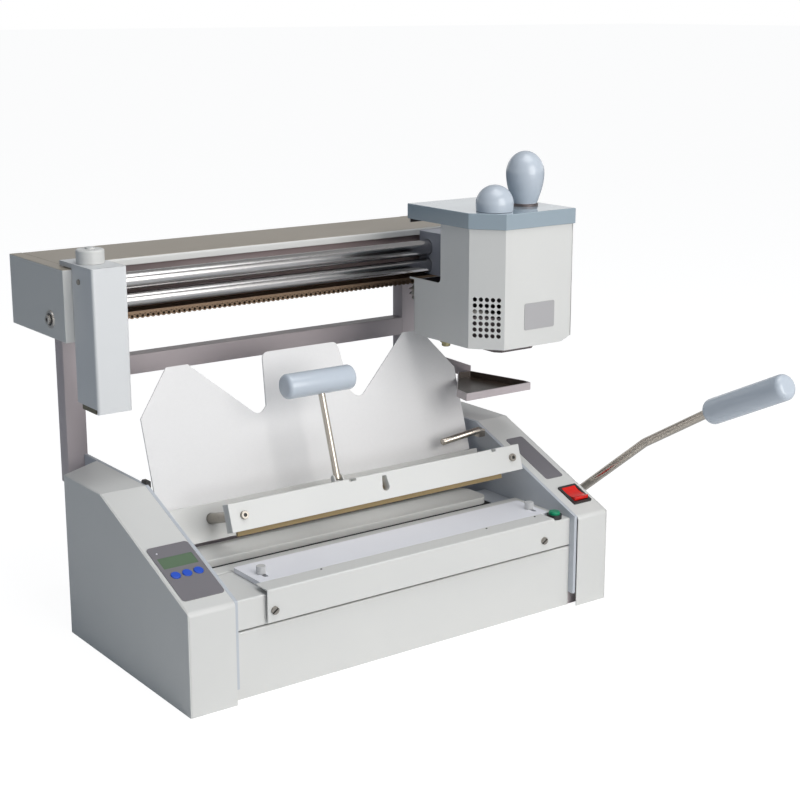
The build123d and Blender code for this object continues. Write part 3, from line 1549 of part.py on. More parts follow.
# Nip lever: a bent rod through the right cabinet, and its grip
lever_x = right_face + lever_offset
lever_elbow = Vector(lever_x, front_face + lever_elbow_setback, lever_elbow_height)
lever_wrist = Vector(lever_x, front_face + lever_wrist_setback, lever_wrist_height)
lever_tip = Vector(lever_x, front_face + lever_tip_setback, lever_tip_height)
grip_axis = lever_tip.sub(lever_wrist).normalized()
lever_end = lever_wrist.add(grip_axis.multiply(lever_tang))
with BuildPart() as lever_rod:
    with BuildLine() as route:
        FilletPolyline(
            (right_plate_face + lever_end_gap, lever_y, lever_height),
            (lever_x, lever_y, lever_height),
            tuple(lever_elbow),
            tuple(lever_wrist),
            tuple(lever_end),
            radius=lever_bend,
        )
    with BuildSketch(Plane.YZ.offset(right_plate_face + lever_end_gap)):
        with Locations((lever_y, lever_height)):
            Circle(lever_rod_diameter / 2)
    sweep()
lever_rod.part.label = "lever_rod"
export_step(lever_rod.part, "parts/lever_rod.step")

grip_start = lever_wrist.add(grip_axis.multiply(lever_bend / 2))
with BuildPart() as lever_grip:
    with BuildSketch(Plane(origin=grip_start, z_dir=grip_axis)):
        Circle(lever_grip_diameter / 2)
    extrude(amount=lever_grip_length - lever_bend / 2)
    fillet(lever_grip.edges().filter_by(GeomType.CIRCLE), lever_grip_diameter / 4)
    with BuildSketch(Plane(origin=grip_start, z_dir=grip_axis)):
        Circle(lever_rod_diameter / 2)
    extrude(amount=lever_tang - lever_bend / 2, mode=Mode.SUBTRACT)
lever_grip.part.label = "lever_grip"
export_step(lever_grip.part, "parts/lever_grip.step")
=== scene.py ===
from math import atan2, cos, pi, radians, sin

import bmesh
import bpy
from mathutils import Matrix, Vector


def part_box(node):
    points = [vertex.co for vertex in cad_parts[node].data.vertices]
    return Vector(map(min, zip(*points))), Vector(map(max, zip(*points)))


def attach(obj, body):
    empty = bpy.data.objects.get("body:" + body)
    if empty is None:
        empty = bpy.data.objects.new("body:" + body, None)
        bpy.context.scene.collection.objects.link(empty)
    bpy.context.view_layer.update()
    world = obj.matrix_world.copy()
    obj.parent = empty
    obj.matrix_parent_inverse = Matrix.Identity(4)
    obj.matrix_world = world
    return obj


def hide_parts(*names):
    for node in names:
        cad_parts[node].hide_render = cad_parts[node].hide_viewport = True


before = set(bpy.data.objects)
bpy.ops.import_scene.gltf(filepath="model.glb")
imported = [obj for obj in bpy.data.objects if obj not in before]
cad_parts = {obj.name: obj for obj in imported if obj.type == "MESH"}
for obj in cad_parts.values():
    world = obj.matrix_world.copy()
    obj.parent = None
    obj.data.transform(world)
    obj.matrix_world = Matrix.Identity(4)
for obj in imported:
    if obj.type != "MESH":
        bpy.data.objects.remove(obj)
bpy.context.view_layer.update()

# Camera: the photograph's view from the front left, a little above the beam.
# It stands about 2.2 m away, with a long lens.
camera_data = bpy.data.cameras.new("camera")
camera_data.sensor_width = 36
camera_data.lens = 71.04
camera_data.shift_x = -0.00125
camera_data.shift_y = -0.014
camera_data.clip_start = 0.05
camera = bpy.data.objects.new("camera", camera_data)
bpy.context.scene.collection.objects.link(camera)
view_line = Vector((0.5738, 0.784, -0.2368))
camera.rotation_euler = view_line.to_track_quat("-Z", "Y").to_euler()
camera.location = (-0.9399, -1.4316, 0.6720)
bpy.context.scene.camera = camera

# Studio table: a wide sheet of white paper that still takes the shadow of
# what stands on it. To the camera, and through glass, it glows as part of
# the white backdrop, while gloss and bounced light meet plain matt paper.
bpy.context.scene.view_settings.view_transform = "Standard"
paper_half = 40
paper_corners = [(-paper_half, -paper_half, 0), (paper_half, -paper_half, 0),
                 (paper_half, paper_half, 0), (-paper_half, paper_half, 0)]
paper_mesh = bpy.data.meshes.new("studio_floor")
paper_mesh.from_pydata(paper_corners, [], [(0, 1, 2, 3)])
studio_floor = bpy.data.objects.new("studio_floor", paper_mesh)
bpy.context.scene.collection.objects.link(studio_floor)
floor_paper = bpy.data.materials.new("floor_paper")
floor_paper.use_nodes = True
paper_mesh.materials.append(floor_paper)


def add_node(tree, kind, inputs=None, **settings):
    """A new node of a tree; its inputs are given as plain values or as outputs of other nodes."""
    node = tree.nodes.new(kind)
    for label, value in settings.items():
        setattr(node, label, value)
    for label, value in (inputs or {}).items():
        if isinstance(value, bpy.types.NodeSocket):
            tree.links.new(value, node.inputs[label])
        else:
            node.inputs[label].default_value = value
    return node


def math_node(tree, operation, *values):
    """Output of a new math node of a tree."""
    return add_node(tree, "ShaderNodeMath", dict(enumerate(values)), operation=operation).outputs[0]


paper = floor_paper.node_tree
paper.nodes.clear()
paper_path = add_node(paper, "ShaderNodeLightPath").outputs
paper_seen = math_node(paper, "MAXIMUM", paper_path["Is Camera Ray"], paper_path["Is Transmission Ray"])
paper_share = math_node(paper, "MULTIPLY", paper_seen, 0.8)
paper_matt = add_node(paper, "ShaderNodeBsdfDiffuse", {"Color": (0.84, 0.84, 0.84, 1)}).outputs[0]
paper_glow = add_node(paper, "ShaderNodeEmission", {"Color": (1, 1, 1, 1), "Strength": 1.19}).outputs[0]
paper_mix = add_node(paper, "ShaderNodeMixShader", {0: paper_share, 1: paper_matt, 2: paper_glow})
add_node(paper, "ShaderNodeOutputMaterial", {"Surface": paper_mix.outputs[0]})

# Studio room: a white backdrop all round under a darker ceiling. It lights
# the machine with less than the backdrop that the camera sees.
room = bpy.data.worlds.new("room")
room.use_nodes = True
bpy.context.scene.world = room
room_tree = room.node_tree
room_tree.nodes.clear()
room_path = add_node(room_tree, "ShaderNodeLightPath").outputs
room_seen = math_node(room_tree, "MAXIMUM", room_path["Is Camera Ray"], room_path["Is Transmission Ray"])
room_also = math_node(room_tree, "MAXIMUM", room_seen, room_path["Is Glossy Ray"])
room_place = add_node(room_tree, "ShaderNodeTexCoord")
room_split = add_node(room_tree, "ShaderNodeSeparateXYZ", {0: room_place.outputs["Generated"]})
room_height = add_node(room_tree, "ShaderNodeMapRange",
                       {"Value": room_split.outputs["Z"], "From Min": 0.08, "From Max": 0.34,
                        "To Min": 1.0, "To Max": 0.34}, interpolation_type="SMOOTHSTEP")
room_level = add_node(room_tree, "ShaderNodeMapRange", {"Value": room_also, "To Min": 0.3, "To Max": 1.0})
room_strength = math_node(room_tree, "MULTIPLY", room_level.outputs["Result"],
                          room_height.outputs["Result"])
room_tint = add_node(room_tree, "ShaderNodeMix",
                     {"Factor": room_also, "A": (0.74, 0.94, 1.2, 1), "B": (1, 1, 1, 1)}, data_type="RGBA")
room_glow = add_node(room_tree, "ShaderNodeBackground",
                     {"Color": room_tint.outputs["Result"], "Strength": room_strength})
add_node(room_tree, "ShaderNodeOutputWorld", {"Surface": room_glow.outputs[0]})

# Lamps: one large soft box low in front, and two weak ones above and at the
# left that keep the shaded sides open.
lamps = [
    ("front_box", (0.45, -3.1, 1.2), 2.2, 66, (1.0, 0.985, 0.965)),
    ("top_box", (0.2, -0.6, 2.4), 1.6, 26, (1.0, 1.0, 1.0)),
    ("left_box", (-2.6, -0.5, 0.9), 1.4, 1, (0.8, 0.92, 1.0)),
]
lamp_aim = Vector((0, 0, 0.25))
for lamp_name, lamp_place, lamp_size, lamp_power, lamp_tint in lamps:
    lamp_data = bpy.data.lights.new(lamp_name, "AREA")
    lamp_data.shape = "SQUARE"
    lamp_data.size = lamp_size
    lamp_data.energy = lamp_power
    lamp_data.color = lamp_tint
    lamp = bpy.data.objects.new(lamp_name, lamp_data)
    bpy.context.scene.collection.objects.link(lamp)
    lamp.location = lamp_place
    lamp.rotation_euler = (lamp_aim - Vector(lamp_place)).to_track_quat("-Z", "Y").to_euler()

# Case panels: folded steel sheet with a fine powder coat, lightly grained and
# never quite even in shade. The texture group serves every later finish too.
texture = bpy.data.node_groups.new("surface_texture", "ShaderNodeTree")


def name_sockets(tree, side, sockets):
    """Gives a group of nodes its named INPUT or OUTPUT sockets, from labels and kinds."""
    for label, kind in sockets.items():
        tree.interface.new_socket(name=label, in_out=side, socket_type=f"NodeSocket{kind}")


name_sockets(texture, "INPUT", {
    "Colour": "Color", "Second colour": "Color", "Patch size": "Float", "Grain size": "Float",
    "Grain share": "Float", "Roughness": "Float", "Roughness spread": "Float", "Stretch": "Vector"})
name_sockets(texture, "OUTPUT", {"Colour": "Color", "Roughness": "Float", "Height": "Float"})
given = add_node(texture, "NodeGroupInput").outputs
place_on = add_node(texture, "ShaderNodeTexCoord").outputs["Object"]
stretched = add_node(texture, "ShaderNodeVectorMath", {0: place_on, 1: given["Stretch"]},
                     operation="MULTIPLY").outputs[0]
patches, grains = [
    add_node(texture, "ShaderNodeTexNoise", {
        "Vector": stretched, "Scale": math_node(texture, "DIVIDE", 1, given[size]), "Detail": detail,
    }).outputs["Fac"] for size, detail in (("Patch size", 4), ("Grain size", 2))]
patch_share = math_node(texture, "SUBTRACT", 1, given["Grain share"])
patch_part = math_node(texture, "MULTIPLY", patches, patch_share)
blend = math_node(texture, "MULTIPLY_ADD", grains, given["Grain share"], patch_part)
shades = add_node(texture, "ShaderNodeMix", {
    "Factor": blend, "A": given["Colour"], "B": given["Second colour"]}, data_type="RGBA")
unevenness = math_node(texture, "SUBTRACT", blend, 0.5)
gloss = math_node(texture, "MULTIPLY_ADD", unevenness, given["Roughness spread"], given["Roughness"])
add_node(texture, "NodeGroupOutput", {
    "Colour": shades.outputs["Result"], "Roughness": gloss, "Height": grains})


def finish_for(name, colour, second, roughness, patch=0.08, grain=0.0008, share=0.1, spread=0.08,
               bump=0.1, depth=0.0001, stretch=(1, 1, 1), **shader):
    """A material on the texture group; shader sets the surface shader's own sockets."""
    material = bpy.data.materials.new(name)
    material.use_nodes = True
    tree = material.node_tree
    group = add_node(tree, "ShaderNodeGroup", {
        "Colour": (*colour, 1), "Second colour": (*second, 1), "Patch size": patch, "Grain size": grain,
        "Grain share": share, "Roughness": roughness, "Roughness spread": spread, "Stretch": stretch,
    }, node_tree=texture).outputs
    relief = add_node(tree, "ShaderNodeBump", {
        "Strength": bump, "Distance": depth, "Height": group["Height"]})
    surface = tree.nodes["Principled BSDF"].inputs
    tree.links.new(group["Colour"], surface["Base Color"])
    tree.links.new(group["Roughness"], surface["Roughness"])
    tree.links.new(relief.outputs["Normal"], surface["Normal"])
    for socket, value in shader.items():
        surface[socket.replace("_", " ")].default_value = value
    return material


def cover(material, *names):
    """Puts one finish on whole pieces of the frame."""
    for name in names:
        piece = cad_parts[name]
        if not piece.data.materials:
            piece.data.materials.append(material)
        for slot in piece.material_slots:
            slot.material = material


def round_edges(piece, width):
    """Rounds a piece's sharp edges by a small width, as paint and punching leave them."""
    edges = piece.modifiers.new("edges", "BEVEL")
    edges.width = width
    edges.segments = 2
    edges.limit_method = "ANGLE"
    edges.angle_limit = radians(40)


def soften(width, *names):
    """Rounds the edges of pieces of the frame, whose triangles are joined to flat faces first."""
    for name in names:
        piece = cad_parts[name]
        piece.modifiers.new("joined", "WELD").merge_threshold = 0.00001
        flat = piece.modifiers.new("flat", "DECIMATE")
        flat.decimate_type = "DISSOLVE"
        flat.angle_limit = radians(2)
        round_edges(piece, width)


cream_look = {"colour": (0.72, 0.715, 0.69), "second": (0.67, 0.67, 0.65), "roughness": 0.4,
              "bump": 0.25, "Coat_Weight": 0.12, "Coat_Roughness": 0.3}
cream_coat = finish_for("cream_coat", **cream_look)
case_panels = ["side_panel_left", "side_panel_right", "cabinet_cover_left", "cabinet_cover_right",
               "front_panel", "table_top", "front_rail"]
cover(cream_coat, *case_panels)
soften(0.0006, *case_panels)

# Base pan: one folded tray of mauve-coated sheet under the whole machine. Its
# rear corners are cut off behind the cabinets, in line with the columns.
mm = 0.001
case_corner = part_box("side_panel_left")[0]
case_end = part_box("side_panel_right")[1]
case_width = (case_end.x - case_corner.x) / mm
case_depth = (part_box("rear_panel")[1].y - case_corner.y) / mm
mauve_coat = finish_for("mauve_coat", (0.58, 0.515, 0.525), (0.52, 0.46, 0.47), 0.42, bump=0.25,
                        Coat_Weight=0.1, Coat_Roughness=0.3)


def at(x, y, z):
    """Point in metres, from millimetres off the case's left side, its front and the table."""
    return Vector((case_corner.x + x * mm, case_corner.y + y * mm, z * mm))


def make_piece(name, mesh, material, body, replaced=(), inside=None, edge=0, smooth=False):
    """Shows a finished mesh as a piece that rides on a body; inside is its second finish."""
    mesh.name = name
    mesh.materials.append(material)
    if inside:
        mesh.materials.append(inside)
    piece = bpy.data.objects.new(name, mesh)
    bpy.context.scene.collection.objects.link(piece)
    if smooth:
        mesh.shade_smooth()
        mesh.set_sharp_from_angle(angle=radians(35))
    if edge:
        round_edges(piece, edge)
    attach(piece, body)
    if replaced:
        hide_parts(*replaced)


def mesh_of(build):
    """Mesh from an edit mesh, with doubles merged and its faces turned outwards."""
    bmesh.ops.remove_doubles(build, verts=build.verts, dist=0.000001)
    bmesh.ops.recalc_face_normals(build, faces=build.faces)
    mesh = bpy.data.meshes.new("mesh")
    build.to_mesh(mesh)
    build.free()
    return mesh


def folded_tray(outline, low, high, sheet):
    """Mesh of a tray folded up round an outline in plan, from low to high; high < low folds down."""
    build = bmesh.new()
    inner = shrunk(outline, sheet)
    step = sheet if high > low else -sheet
    rings = [(outline, low), (outline, high), (inner, high), (inner, low + step)]
    rows = [[build.verts.new(at(x, y, z)) for x, y in points] for points, z in rings]
    count = len(outline)
    for first, second in zip(rows, rows[1:]):
        for i in range(count):
            j = (i + 1) % count
            build.faces.new((first[i], first[j], second[j], second[i]))
    build.faces.new(rows[0])
    build.faces.new(rows[-1])
    return mesh_of(build)


def shrunk(outline, amount):
    """Outline with every side moved inwards by amount; its corners run against the clock."""
    moved = []
    count = len(outline)
    for i in range(count):
        before = Vector(outline[i]) - Vector(outline[i - 1])
        after = Vector(outline[(i + 1) % count]) - Vector(outline[i])
        first = Vector((-before.y, before.x)).normalized()
        second = Vector((-after.y, after.x)).normalized()
        reach = (first + second) / (1 + first.dot(second))
        moved.append(tuple(Vector(outline[i]) + reach * amount))
    return moved


def cut_plate(outlines, thickness, place):
    """Mesh of a flat plate cut to the first outline, with the others as holes, in millimetres."""
    curve = bpy.data.curves.new("plate", "CURVE")
    curve.dimensions = "2D"
    curve.fill_mode = "BOTH"
    curve.extrude = thickness / 2 * mm
    for outline in outlines:
        spline = curve.splines.new("POLY")
        spline.points.add(len(outline) - 1)
        for point, (x, y) in zip(spline.points, outline):
            point.co = (x * mm, y * mm, 0, 1)
        spline.use_cyclic_u = True
    holder = bpy.data.objects.new("plate", curve)
    bpy.context.scene.collection.objects.link(holder)
    made = holder.evaluated_get(bpy.context.evaluated_depsgraph_get())
    flat = bpy.data.meshes.new_from_object(made)
    bpy.data.objects.remove(holder)
    build = bmesh.new()
    build.from_mesh(flat)
    build.transform(place @ Matrix.Translation((0, 0, thickness / 2 * mm)))
    return mesh_of(build)


def oblong(left, low, right, high):
    """Outline of a rectangle, which is also the profile of a plain round bar when left is 0."""
    return [(left, low), (right, low), (right, high), (left, high)]


pan_sheet = 1.5
pan_flange = 15
pan_front = 11.5
cabinet_back = 273
foot_cut = 7
column_front = (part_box("column_left")[0].y - case_corner.y) / mm
left_column = (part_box("column_left")[0].x - case_corner.x) / mm + foot_cut
right_column = (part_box("column_right")[1].x - case_corner.x) / mm - foot_cut
pan_outline = [(pan_sheet, pan_front), (case_width - pan_sheet, pan_front),
               (case_width - pan_sheet, cabinet_back), (right_column, column_front),
               (right_column, case_depth), (left_column, case_depth),
               (left_column, column_front), (pan_sheet, cabinet_back)]
make_piece("base_tray", folded_tray(pan_outline, 0, pan_flange, pan_sheet), mauve_coat,
           "base", replaced=["base_pan"])
rear_height = 108
inlet_margin = 6
rear_top = max(rear_height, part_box("power_inlet")[1].z / mm + inlet_margin)
upright = Matrix.Rotation(pi / 2, 4, "X")
rear_outline = oblong(left_column, pan_flange, right_column, rear_top)
rear_place = Matrix.Translation(at(0, case_depth, 0)) @ upright
make_piece("rear_sheet", cut_plate([rear_outline], pan_sheet, rear_place), mauve_coat,
           "base", replaced=["rear_panel"])

# Columns and crossbar: square mauve-coated tube, welded, that carries the
# beam. The feet are cut narrower, to stand inside the pan's corners.
cover(mauve_coat, "crossbar")
soften(0.0008, "crossbar")
foot_height = 142
for side in ("left", "right"):
    low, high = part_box(f"column_{side}")
    foot = low.z / mm
    top = high.z / mm
    width = (high.x - low.x) / mm
    tube = [(foot_cut, foot), (width, foot), (width, top), (0, top), (0, foot_height + foot_cut),
            (foot_cut, foot_height)]
    if side == "right":
        tube = [(width - x, z) for x, z in reversed(tube)]
    tube_place = Matrix.Translation((low.x, high.y, 0)) @ upright
    make_piece(f"column_tube_{side}", cut_plate([tube], (high.y - low.y) / mm, tube_place), mauve_coat,
               "base", replaced=[f"column_{side}"], edge=0.0008)

# Inner plates: bright grey sheet on both sides of the well. They carry the
# clamp's pivots.
grey_coat = finish_for("grey_coat", (0.58, 0.605, 0.645), (0.48, 0.51, 0.555), 0.38, patch=0.05,
                       grain=0.0015, share=0.3, bump=0.2, Coat_Weight=0.2)
cover(grey_coat, "inner_plate_left", "inner_plate_right")
soften(0.0005, "inner_plate_left", "inner_plate_right")

# Nip station: a coated bar in front, the sliding plate behind it and a
# channel between, where a book's glued back is pressed. The channel is
# painted black as painted shade in the narrow slot.
cover(cream_coat, "front_nip_bar", "nip_plate")
# One black for plastic parts, which also paints shade in slots, sockets and the nip channel.
black_plastic = finish_for("black_plastic", (0.02, 0.02, 0.02), (0.03, 0.03, 0.03), 0.45, bump=0.3)
cover(black_plastic, "nip_channel")
channel_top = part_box("nip_channel")[1].z / mm
cap_sheet = 0.8
cap_outline = oblong(469, 107.6, 496.4, 162.8)
cap_place = Matrix.Translation(at(0, 0, channel_top))
make_piece("channel_cap", cut_plate([cap_outline], cap_sheet, cap_place), grey_coat,
           "base")

# Fence: a white plastic plate that lies on the table. It slides under its
# two thumb screws, which go through its slots.
white_plastic = finish_for("white_plastic", (0.86, 0.86, 0.90), (0.83, 0.83, 0.87), 0.4, bump=0.1)
cover(white_plastic, "fence_plate")
soften(0.0005, "fence_plate")

# Thumb screws: small pale plastic heads with a knurled rim, on plain shanks.
# A tree of nodes sets the ribs of the knurl round the rim.
knurl = bpy.data.node_groups.new("knurled_head", "GeometryNodeTree")
name_sockets(knurl, "INPUT", {
    "Geometry": "Geometry", "Radius": "Float", "Height": "Float", "Ribs": "Int",
    "Rib radius": "Float", "Middle": "Vector", "Finish": "Material"})
knurl_in = add_node(knurl, "NodeGroupInput").outputs
knurl_core = add_node(knurl, "GeometryNodeMeshCylinder", {
    "Vertices": 32, "Radius": knurl_in["Radius"], "Depth": knurl_in["Height"]})
knurl_rib = add_node(knurl, "GeometryNodeMeshCylinder", {
    "Vertices": 6, "Radius": knurl_in["Rib radius"], "Depth": knurl_in["Height"]})
knurl_ring = add_node(knurl, "GeometryNodeCurvePrimitiveCircle", {
    "Resolution": knurl_in["Ribs"], "Radius": knurl_in["Radius"]})
knurl_set = add_node(knurl, "GeometryNodeInstanceOnPoints", {
    "Points": knurl_ring.outputs["Curve"], "Instance": knurl_rib.outputs["Mesh"]})
knurl_all = add_node(knurl, "GeometryNodeJoinGeometry", {0: knurl_core.outputs["Mesh"]})
knurl.links.new(knurl_set.outputs["Instances"], knurl_all.inputs[0])
knurl_moved = add_node(knurl, "GeometryNodeTransform", {
    "Geometry": knurl_all.outputs[0], "Translation": knurl_in["Middle"]})


def end_tree(tree, shape, finish):
    """Ends a tree of nodes: its copies are made real and get their finish."""
    name_sockets(tree, "OUTPUT", {"Geometry": "Geometry"})
    real = add_node(tree, "GeometryNodeRealizeInstances", {"Geometry": shape})
    coated = add_node(tree, "GeometryNodeSetMaterial", {"Geometry": real.outputs[0], "Material": finish})
    add_node(tree, "NodeGroupOutput", {0: coated.outputs[0]})


def grown(tree, **values):
    """Plain mesh of what a tree of nodes makes with its named inputs."""
    holder = bpy.data.objects.new("holder", bpy.data.meshes.new("start"))
    bpy.context.scene.collection.objects.link(holder)
    modifier = holder.modifiers.new("tree", "NODES")
    modifier.node_group = tree
    for item in tree.interface.items_tree:
        key = item.name.replace(" ", "_")
        if item.in_out == "INPUT" and key in values:
            modifier[item.identifier] = values[key]
    made = holder.evaluated_get(bpy.context.evaluated_depsgraph_get())
    mesh = bpy.data.meshes.new_from_object(made)
    bpy.data.objects.remove(holder)
    return mesh


def turned(profile, place, sides=40):
    """Mesh turned from a profile of (radius, height) in mm, which starts and ends on the axis."""
    build = bmesh.new()
    turns = [2 * pi * i / sides for i in range(sides)]
    rings = []
    for radius, height in profile:
        if radius == 0:
            rings.append([build.verts.new((0, 0, height * mm))])
        else:
            rings.append([build.verts.new((radius * mm * cos(a), radius * mm * sin(a), height * mm))
                          for a in turns])
    for low, high in zip(rings, rings[1:]):
        for i in range(sides):
            j = (i + 1) % sides
            corners = [low[i % len(low)], low[j % len(low)], high[j % len(high)], high[i % len(high)]]
            build.faces.new(list(dict.fromkeys(corners)))
    build.transform(place)
    return mesh_of(build)


def joined(*meshes):
    """One mesh out of several, which keep their faces' material numbers."""
    build = bmesh.new()
    for mesh in meshes:
        build.from_mesh(mesh)
    whole = bpy.data.meshes.new("whole")
    build.to_mesh(whole)
    build.free()
    return whole


end_tree(knurl, knurl_moved.outputs[0], knurl_in["Finish"])
thumb_height = 8
shank_radius = 2.2
head_gap = 0.3
clear_plastic = finish_for("clear_plastic", (0.66, 0.66, 0.66), (0.58, 0.58, 0.58), 0.22, bump=0.02,
                           Coat_Weight=0.3)
for side in ("left", "right"):
    node = f"thumb_screw_{side}"
    low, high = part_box(node)
    middle = (low + high) / 2
    head_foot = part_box("fence_plate")[1].z + head_gap * mm
    head_middle = Vector((middle.x, middle.y, head_foot + thumb_height / 2 * mm))
    head = grown(knurl, Radius=4.6 * mm, Height=thumb_height * mm, Ribs=24, Rib_radius=0.5 * mm,
                 Middle=head_middle, Finish=clear_plastic)
    shank_profile = oblong(0, 0, shank_radius, (head_foot - low.z) / mm)
    shank = turned(shank_profile, Matrix.Translation((middle.x, middle.y, low.z)), 24)
    make_piece(f"{node}_knurled", joined(head, shank), clear_plastic, node,
               replaced=[node], edge=0.0002)

# Case screws: two slotted screws with spacers hold the rail off the apron,
# and a hexagon screw with a broad washer closes each end of the beam. Black
# discs paint shade in their slots and sockets, and a ring of it round each
# hexagon head.
steel = finish_for("steel", (0.62, 0.60, 0.57), (0.52, 0.50, 0.47), 0.28, patch=0.01, grain=0.0004,
                   Metallic=1.0)
screw_steel = finish_for("screw_steel", (0.42, 0.39, 0.35), (0.30, 0.28, 0.25), 0.3, patch=0.004,
                         grain=0.0004, Metallic=1.0)


def along_beam(origin, side=1):
    """Place whose Z runs along the beam, to the right, or to the left where side is -1."""
    return Matrix.Translation(origin) @ Matrix.Rotation(side * pi / 2, 4, "Y")


rail_screw_height = 87.5
rail_front = (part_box("front_rail")[0].y - case_corner.y) / mm
rim_radius = 4.2
rim_start = 12
rim_step = 13
half_lift = 0.3
half_thickness = 1.8
slot_turn = radians(35)
screw_meshes = []
slot_shade_meshes = []
for x in (100, 454):
    seat = Matrix.Translation(at(x, rail_front, rail_screw_height)) @ upright
    screw_meshes.append(turned(oblong(0, -5, 4, -1.6), seat, 24))
    # The black disc under the two half heads is painted shade in the slot.
    slot_shade_meshes.append(turned(oblong(0, 0, 4, 0.5), seat, 32))
    lifted = seat @ Matrix.Translation((0, 0, half_lift * mm))
    for half in (0, pi):
        angles = [radians(rim_start + rim_step * i) + half + slot_turn for i in range(13)]
        rim = [(rim_radius * cos(a), rim_radius * sin(a)) for a in angles]
        half_head = cut_plate([rim], half_thickness, lifted)
        half_head.shade_flat()
        screw_meshes.append(half_head)
end_screw_back = 282
end_screw_height = 349
washer_profile = [(0, 0), (10, 0), (9.5, 1.3), (0, 1.5)]
hexagon_profile = [(0, 3), (2.2, 3), (2.2, 4.6), (4.8, 4.6), (5.2, 4), (5.2, 1.4), (0, 1.4)]
washer_meshes = []
for x, outward in ((0, -1), (case_width, 1)):
    seat = along_beam(at(x, end_screw_back, end_screw_height), outward)
    washer_meshes.append(turned(washer_profile, seat, 40))
    washer_meshes.append(turned(hexagon_profile, seat, 12))
    # A black ring round the hexagon and a black disc in its socket are painted shade.
    slot_shade_meshes.append(turned(oblong(0, 1.2, 6.6, 1.7), seat, 32))
    slot_shade_meshes.append(turned(oblong(0, 3, 2.1, 3.4), seat, 16))
make_piece("case_screw_set", joined(*screw_meshes), screw_steel, "base",
           replaced=["case_screws"])
make_piece("end_washers", joined(*washer_meshes), steel, "base")
make_piece("screw_slots", joined(*slot_shade_meshes), black_plastic, "base")

# Edge rivets: three small black plastic heads, pressed into the rail along
# its top edge.
rivet_back = 24
rivet_height = 110
rivet_profile = [(0, -0.5), (1.1, -0.5), (1.1, 0.5), (0, 0.8)]
rivets = [turned(rivet_profile, Matrix.Translation(at(x, rivet_back, rivet_height)), 12)
          for x in (168, 386, 456)]
make_piece("edge_rivets", joined(*rivets), black_plastic, "base")

# Start button: a green plastic cap that is pressed down in its black collar
# on the table. The switch's bezel and the mains inlet are of the same black.
cover(black_plastic, "button_collar", "switch_bezel", "power_inlet")
green_plastic = finish_for("green_plastic", (0.0, 0.30, 0.14), (0.0, 0.24, 0.11), 0.3, bump=0.02)
cover(green_plastic, "green_button")

# Power switch: a red plastic rocker, moulded with a clear gloss, that tips
# in the black bezel on the right slope.
red_plastic = finish_for("red_plastic", (0.80, 0.015, 0.01), (0.68, 0.01, 0.005), 0.2, bump=0.02)
cover(red_plastic, "power_rocker")

# Control plate: a dark mauve foil plate on the left slope, with a green-grey
# display behind a clear pane, three blue keys and a small lamp.
panel_mauve = finish_for("panel_mauve", (0.205, 0.195, 0.21), (0.17, 0.16, 0.175), 0.4, bump=0.1)
cover(panel_mauve, "control_plate")
display = finish_for("display", (0.11, 0.175, 0.105), (0.13, 0.20, 0.12), 0.12, bump=0.0)
cover(display, "display_window")
blue_plastic = finish_for("blue_plastic", (0.015, 0.09, 0.62), (0.01, 0.08, 0.52), 0.3, bump=0.02)
cover(blue_plastic, "blue_button_1", "blue_button_2", "blue_button_3")
cabinet_front_height = 107
slope_angle = atan2(74, 182.4)


def on_slope(x, along, lift=0):
    """Place on a cabinet's sloping top, with Y up the slope and Z out of it, in millimetres."""
    up = Vector((0, cos(slope_angle), sin(slope_angle)))
    out = Vector((0, -sin(slope_angle), cos(slope_angle)))
    origin = at(x, 0, cabinet_front_height) + up * along * mm + out * lift * mm
    return standing(origin, (1, 0, 0), up)


def standing(origin, across=(1, 0, 0), up=(0, 0, 1)):
    """Place of a flat piece with its X across and its Y up; unless told, it faces the front."""
    across = Vector(across)
    up = Vector(up)
    rows = Matrix((across, up, across.cross(up))).transposed()
    return Matrix.Translation(origin) @ rows.to_4x4()


plate_face = 0.8
lamp_place = on_slope(12.5, 90.7, plate_face)
lamp_profile = [(0, 0), (0.9, 0), (0.9, 0.3), (0, 0.6)]
make_piece("panel_lamp", turned(lamp_profile, lamp_place, 16), white_plastic, "base")

# Information plate: a bare dark foil with round corners, stuck on the right
# slope behind the switch.
info_width = 25.5
info_length = 82
info_corner = 3
foil_sheet = 0.6
info_place = on_slope(523.2, 112.2)


def rounded(width, height, corner, steps=5):
    """Outline of a rectangle about its middle, with round corners."""
    points = []
    for number in range(4):
        turn = number * pi / 2
        middle_x = (width / 2 - corner) * (1 if number in (0, 3) else -1)
        middle_y = (height / 2 - corner) * (1 if number in (0, 1) else -1)
        for i in range(steps + 1):
            angle = turn + pi / 2 * i / steps
            points.append((middle_x + corner * cos(angle), middle_y + corner * sin(angle)))
    return points


info_mesh = cut_plate([rounded(info_width, info_length, info_corner)], foil_sheet, info_place)
make_piece("information_plate", info_mesh, panel_mauve, "base")

# Beam: pressed end caps, a long folded cover over the top and the back, and a
# brown-mauve spine sheet inside, whose foot ends just below the chain. The
# coat's very top face is painted darker brown, as painted shade.
beam_cover_parts = ["beam_end_left", "beam_end_right", "beam_cover"]
beam_coat = finish_for("beam_coat", **cream_look)
beam_tree = beam_coat.node_tree
beam_colour = beam_tree.nodes["Principled BSDF"].inputs["Base Color"]
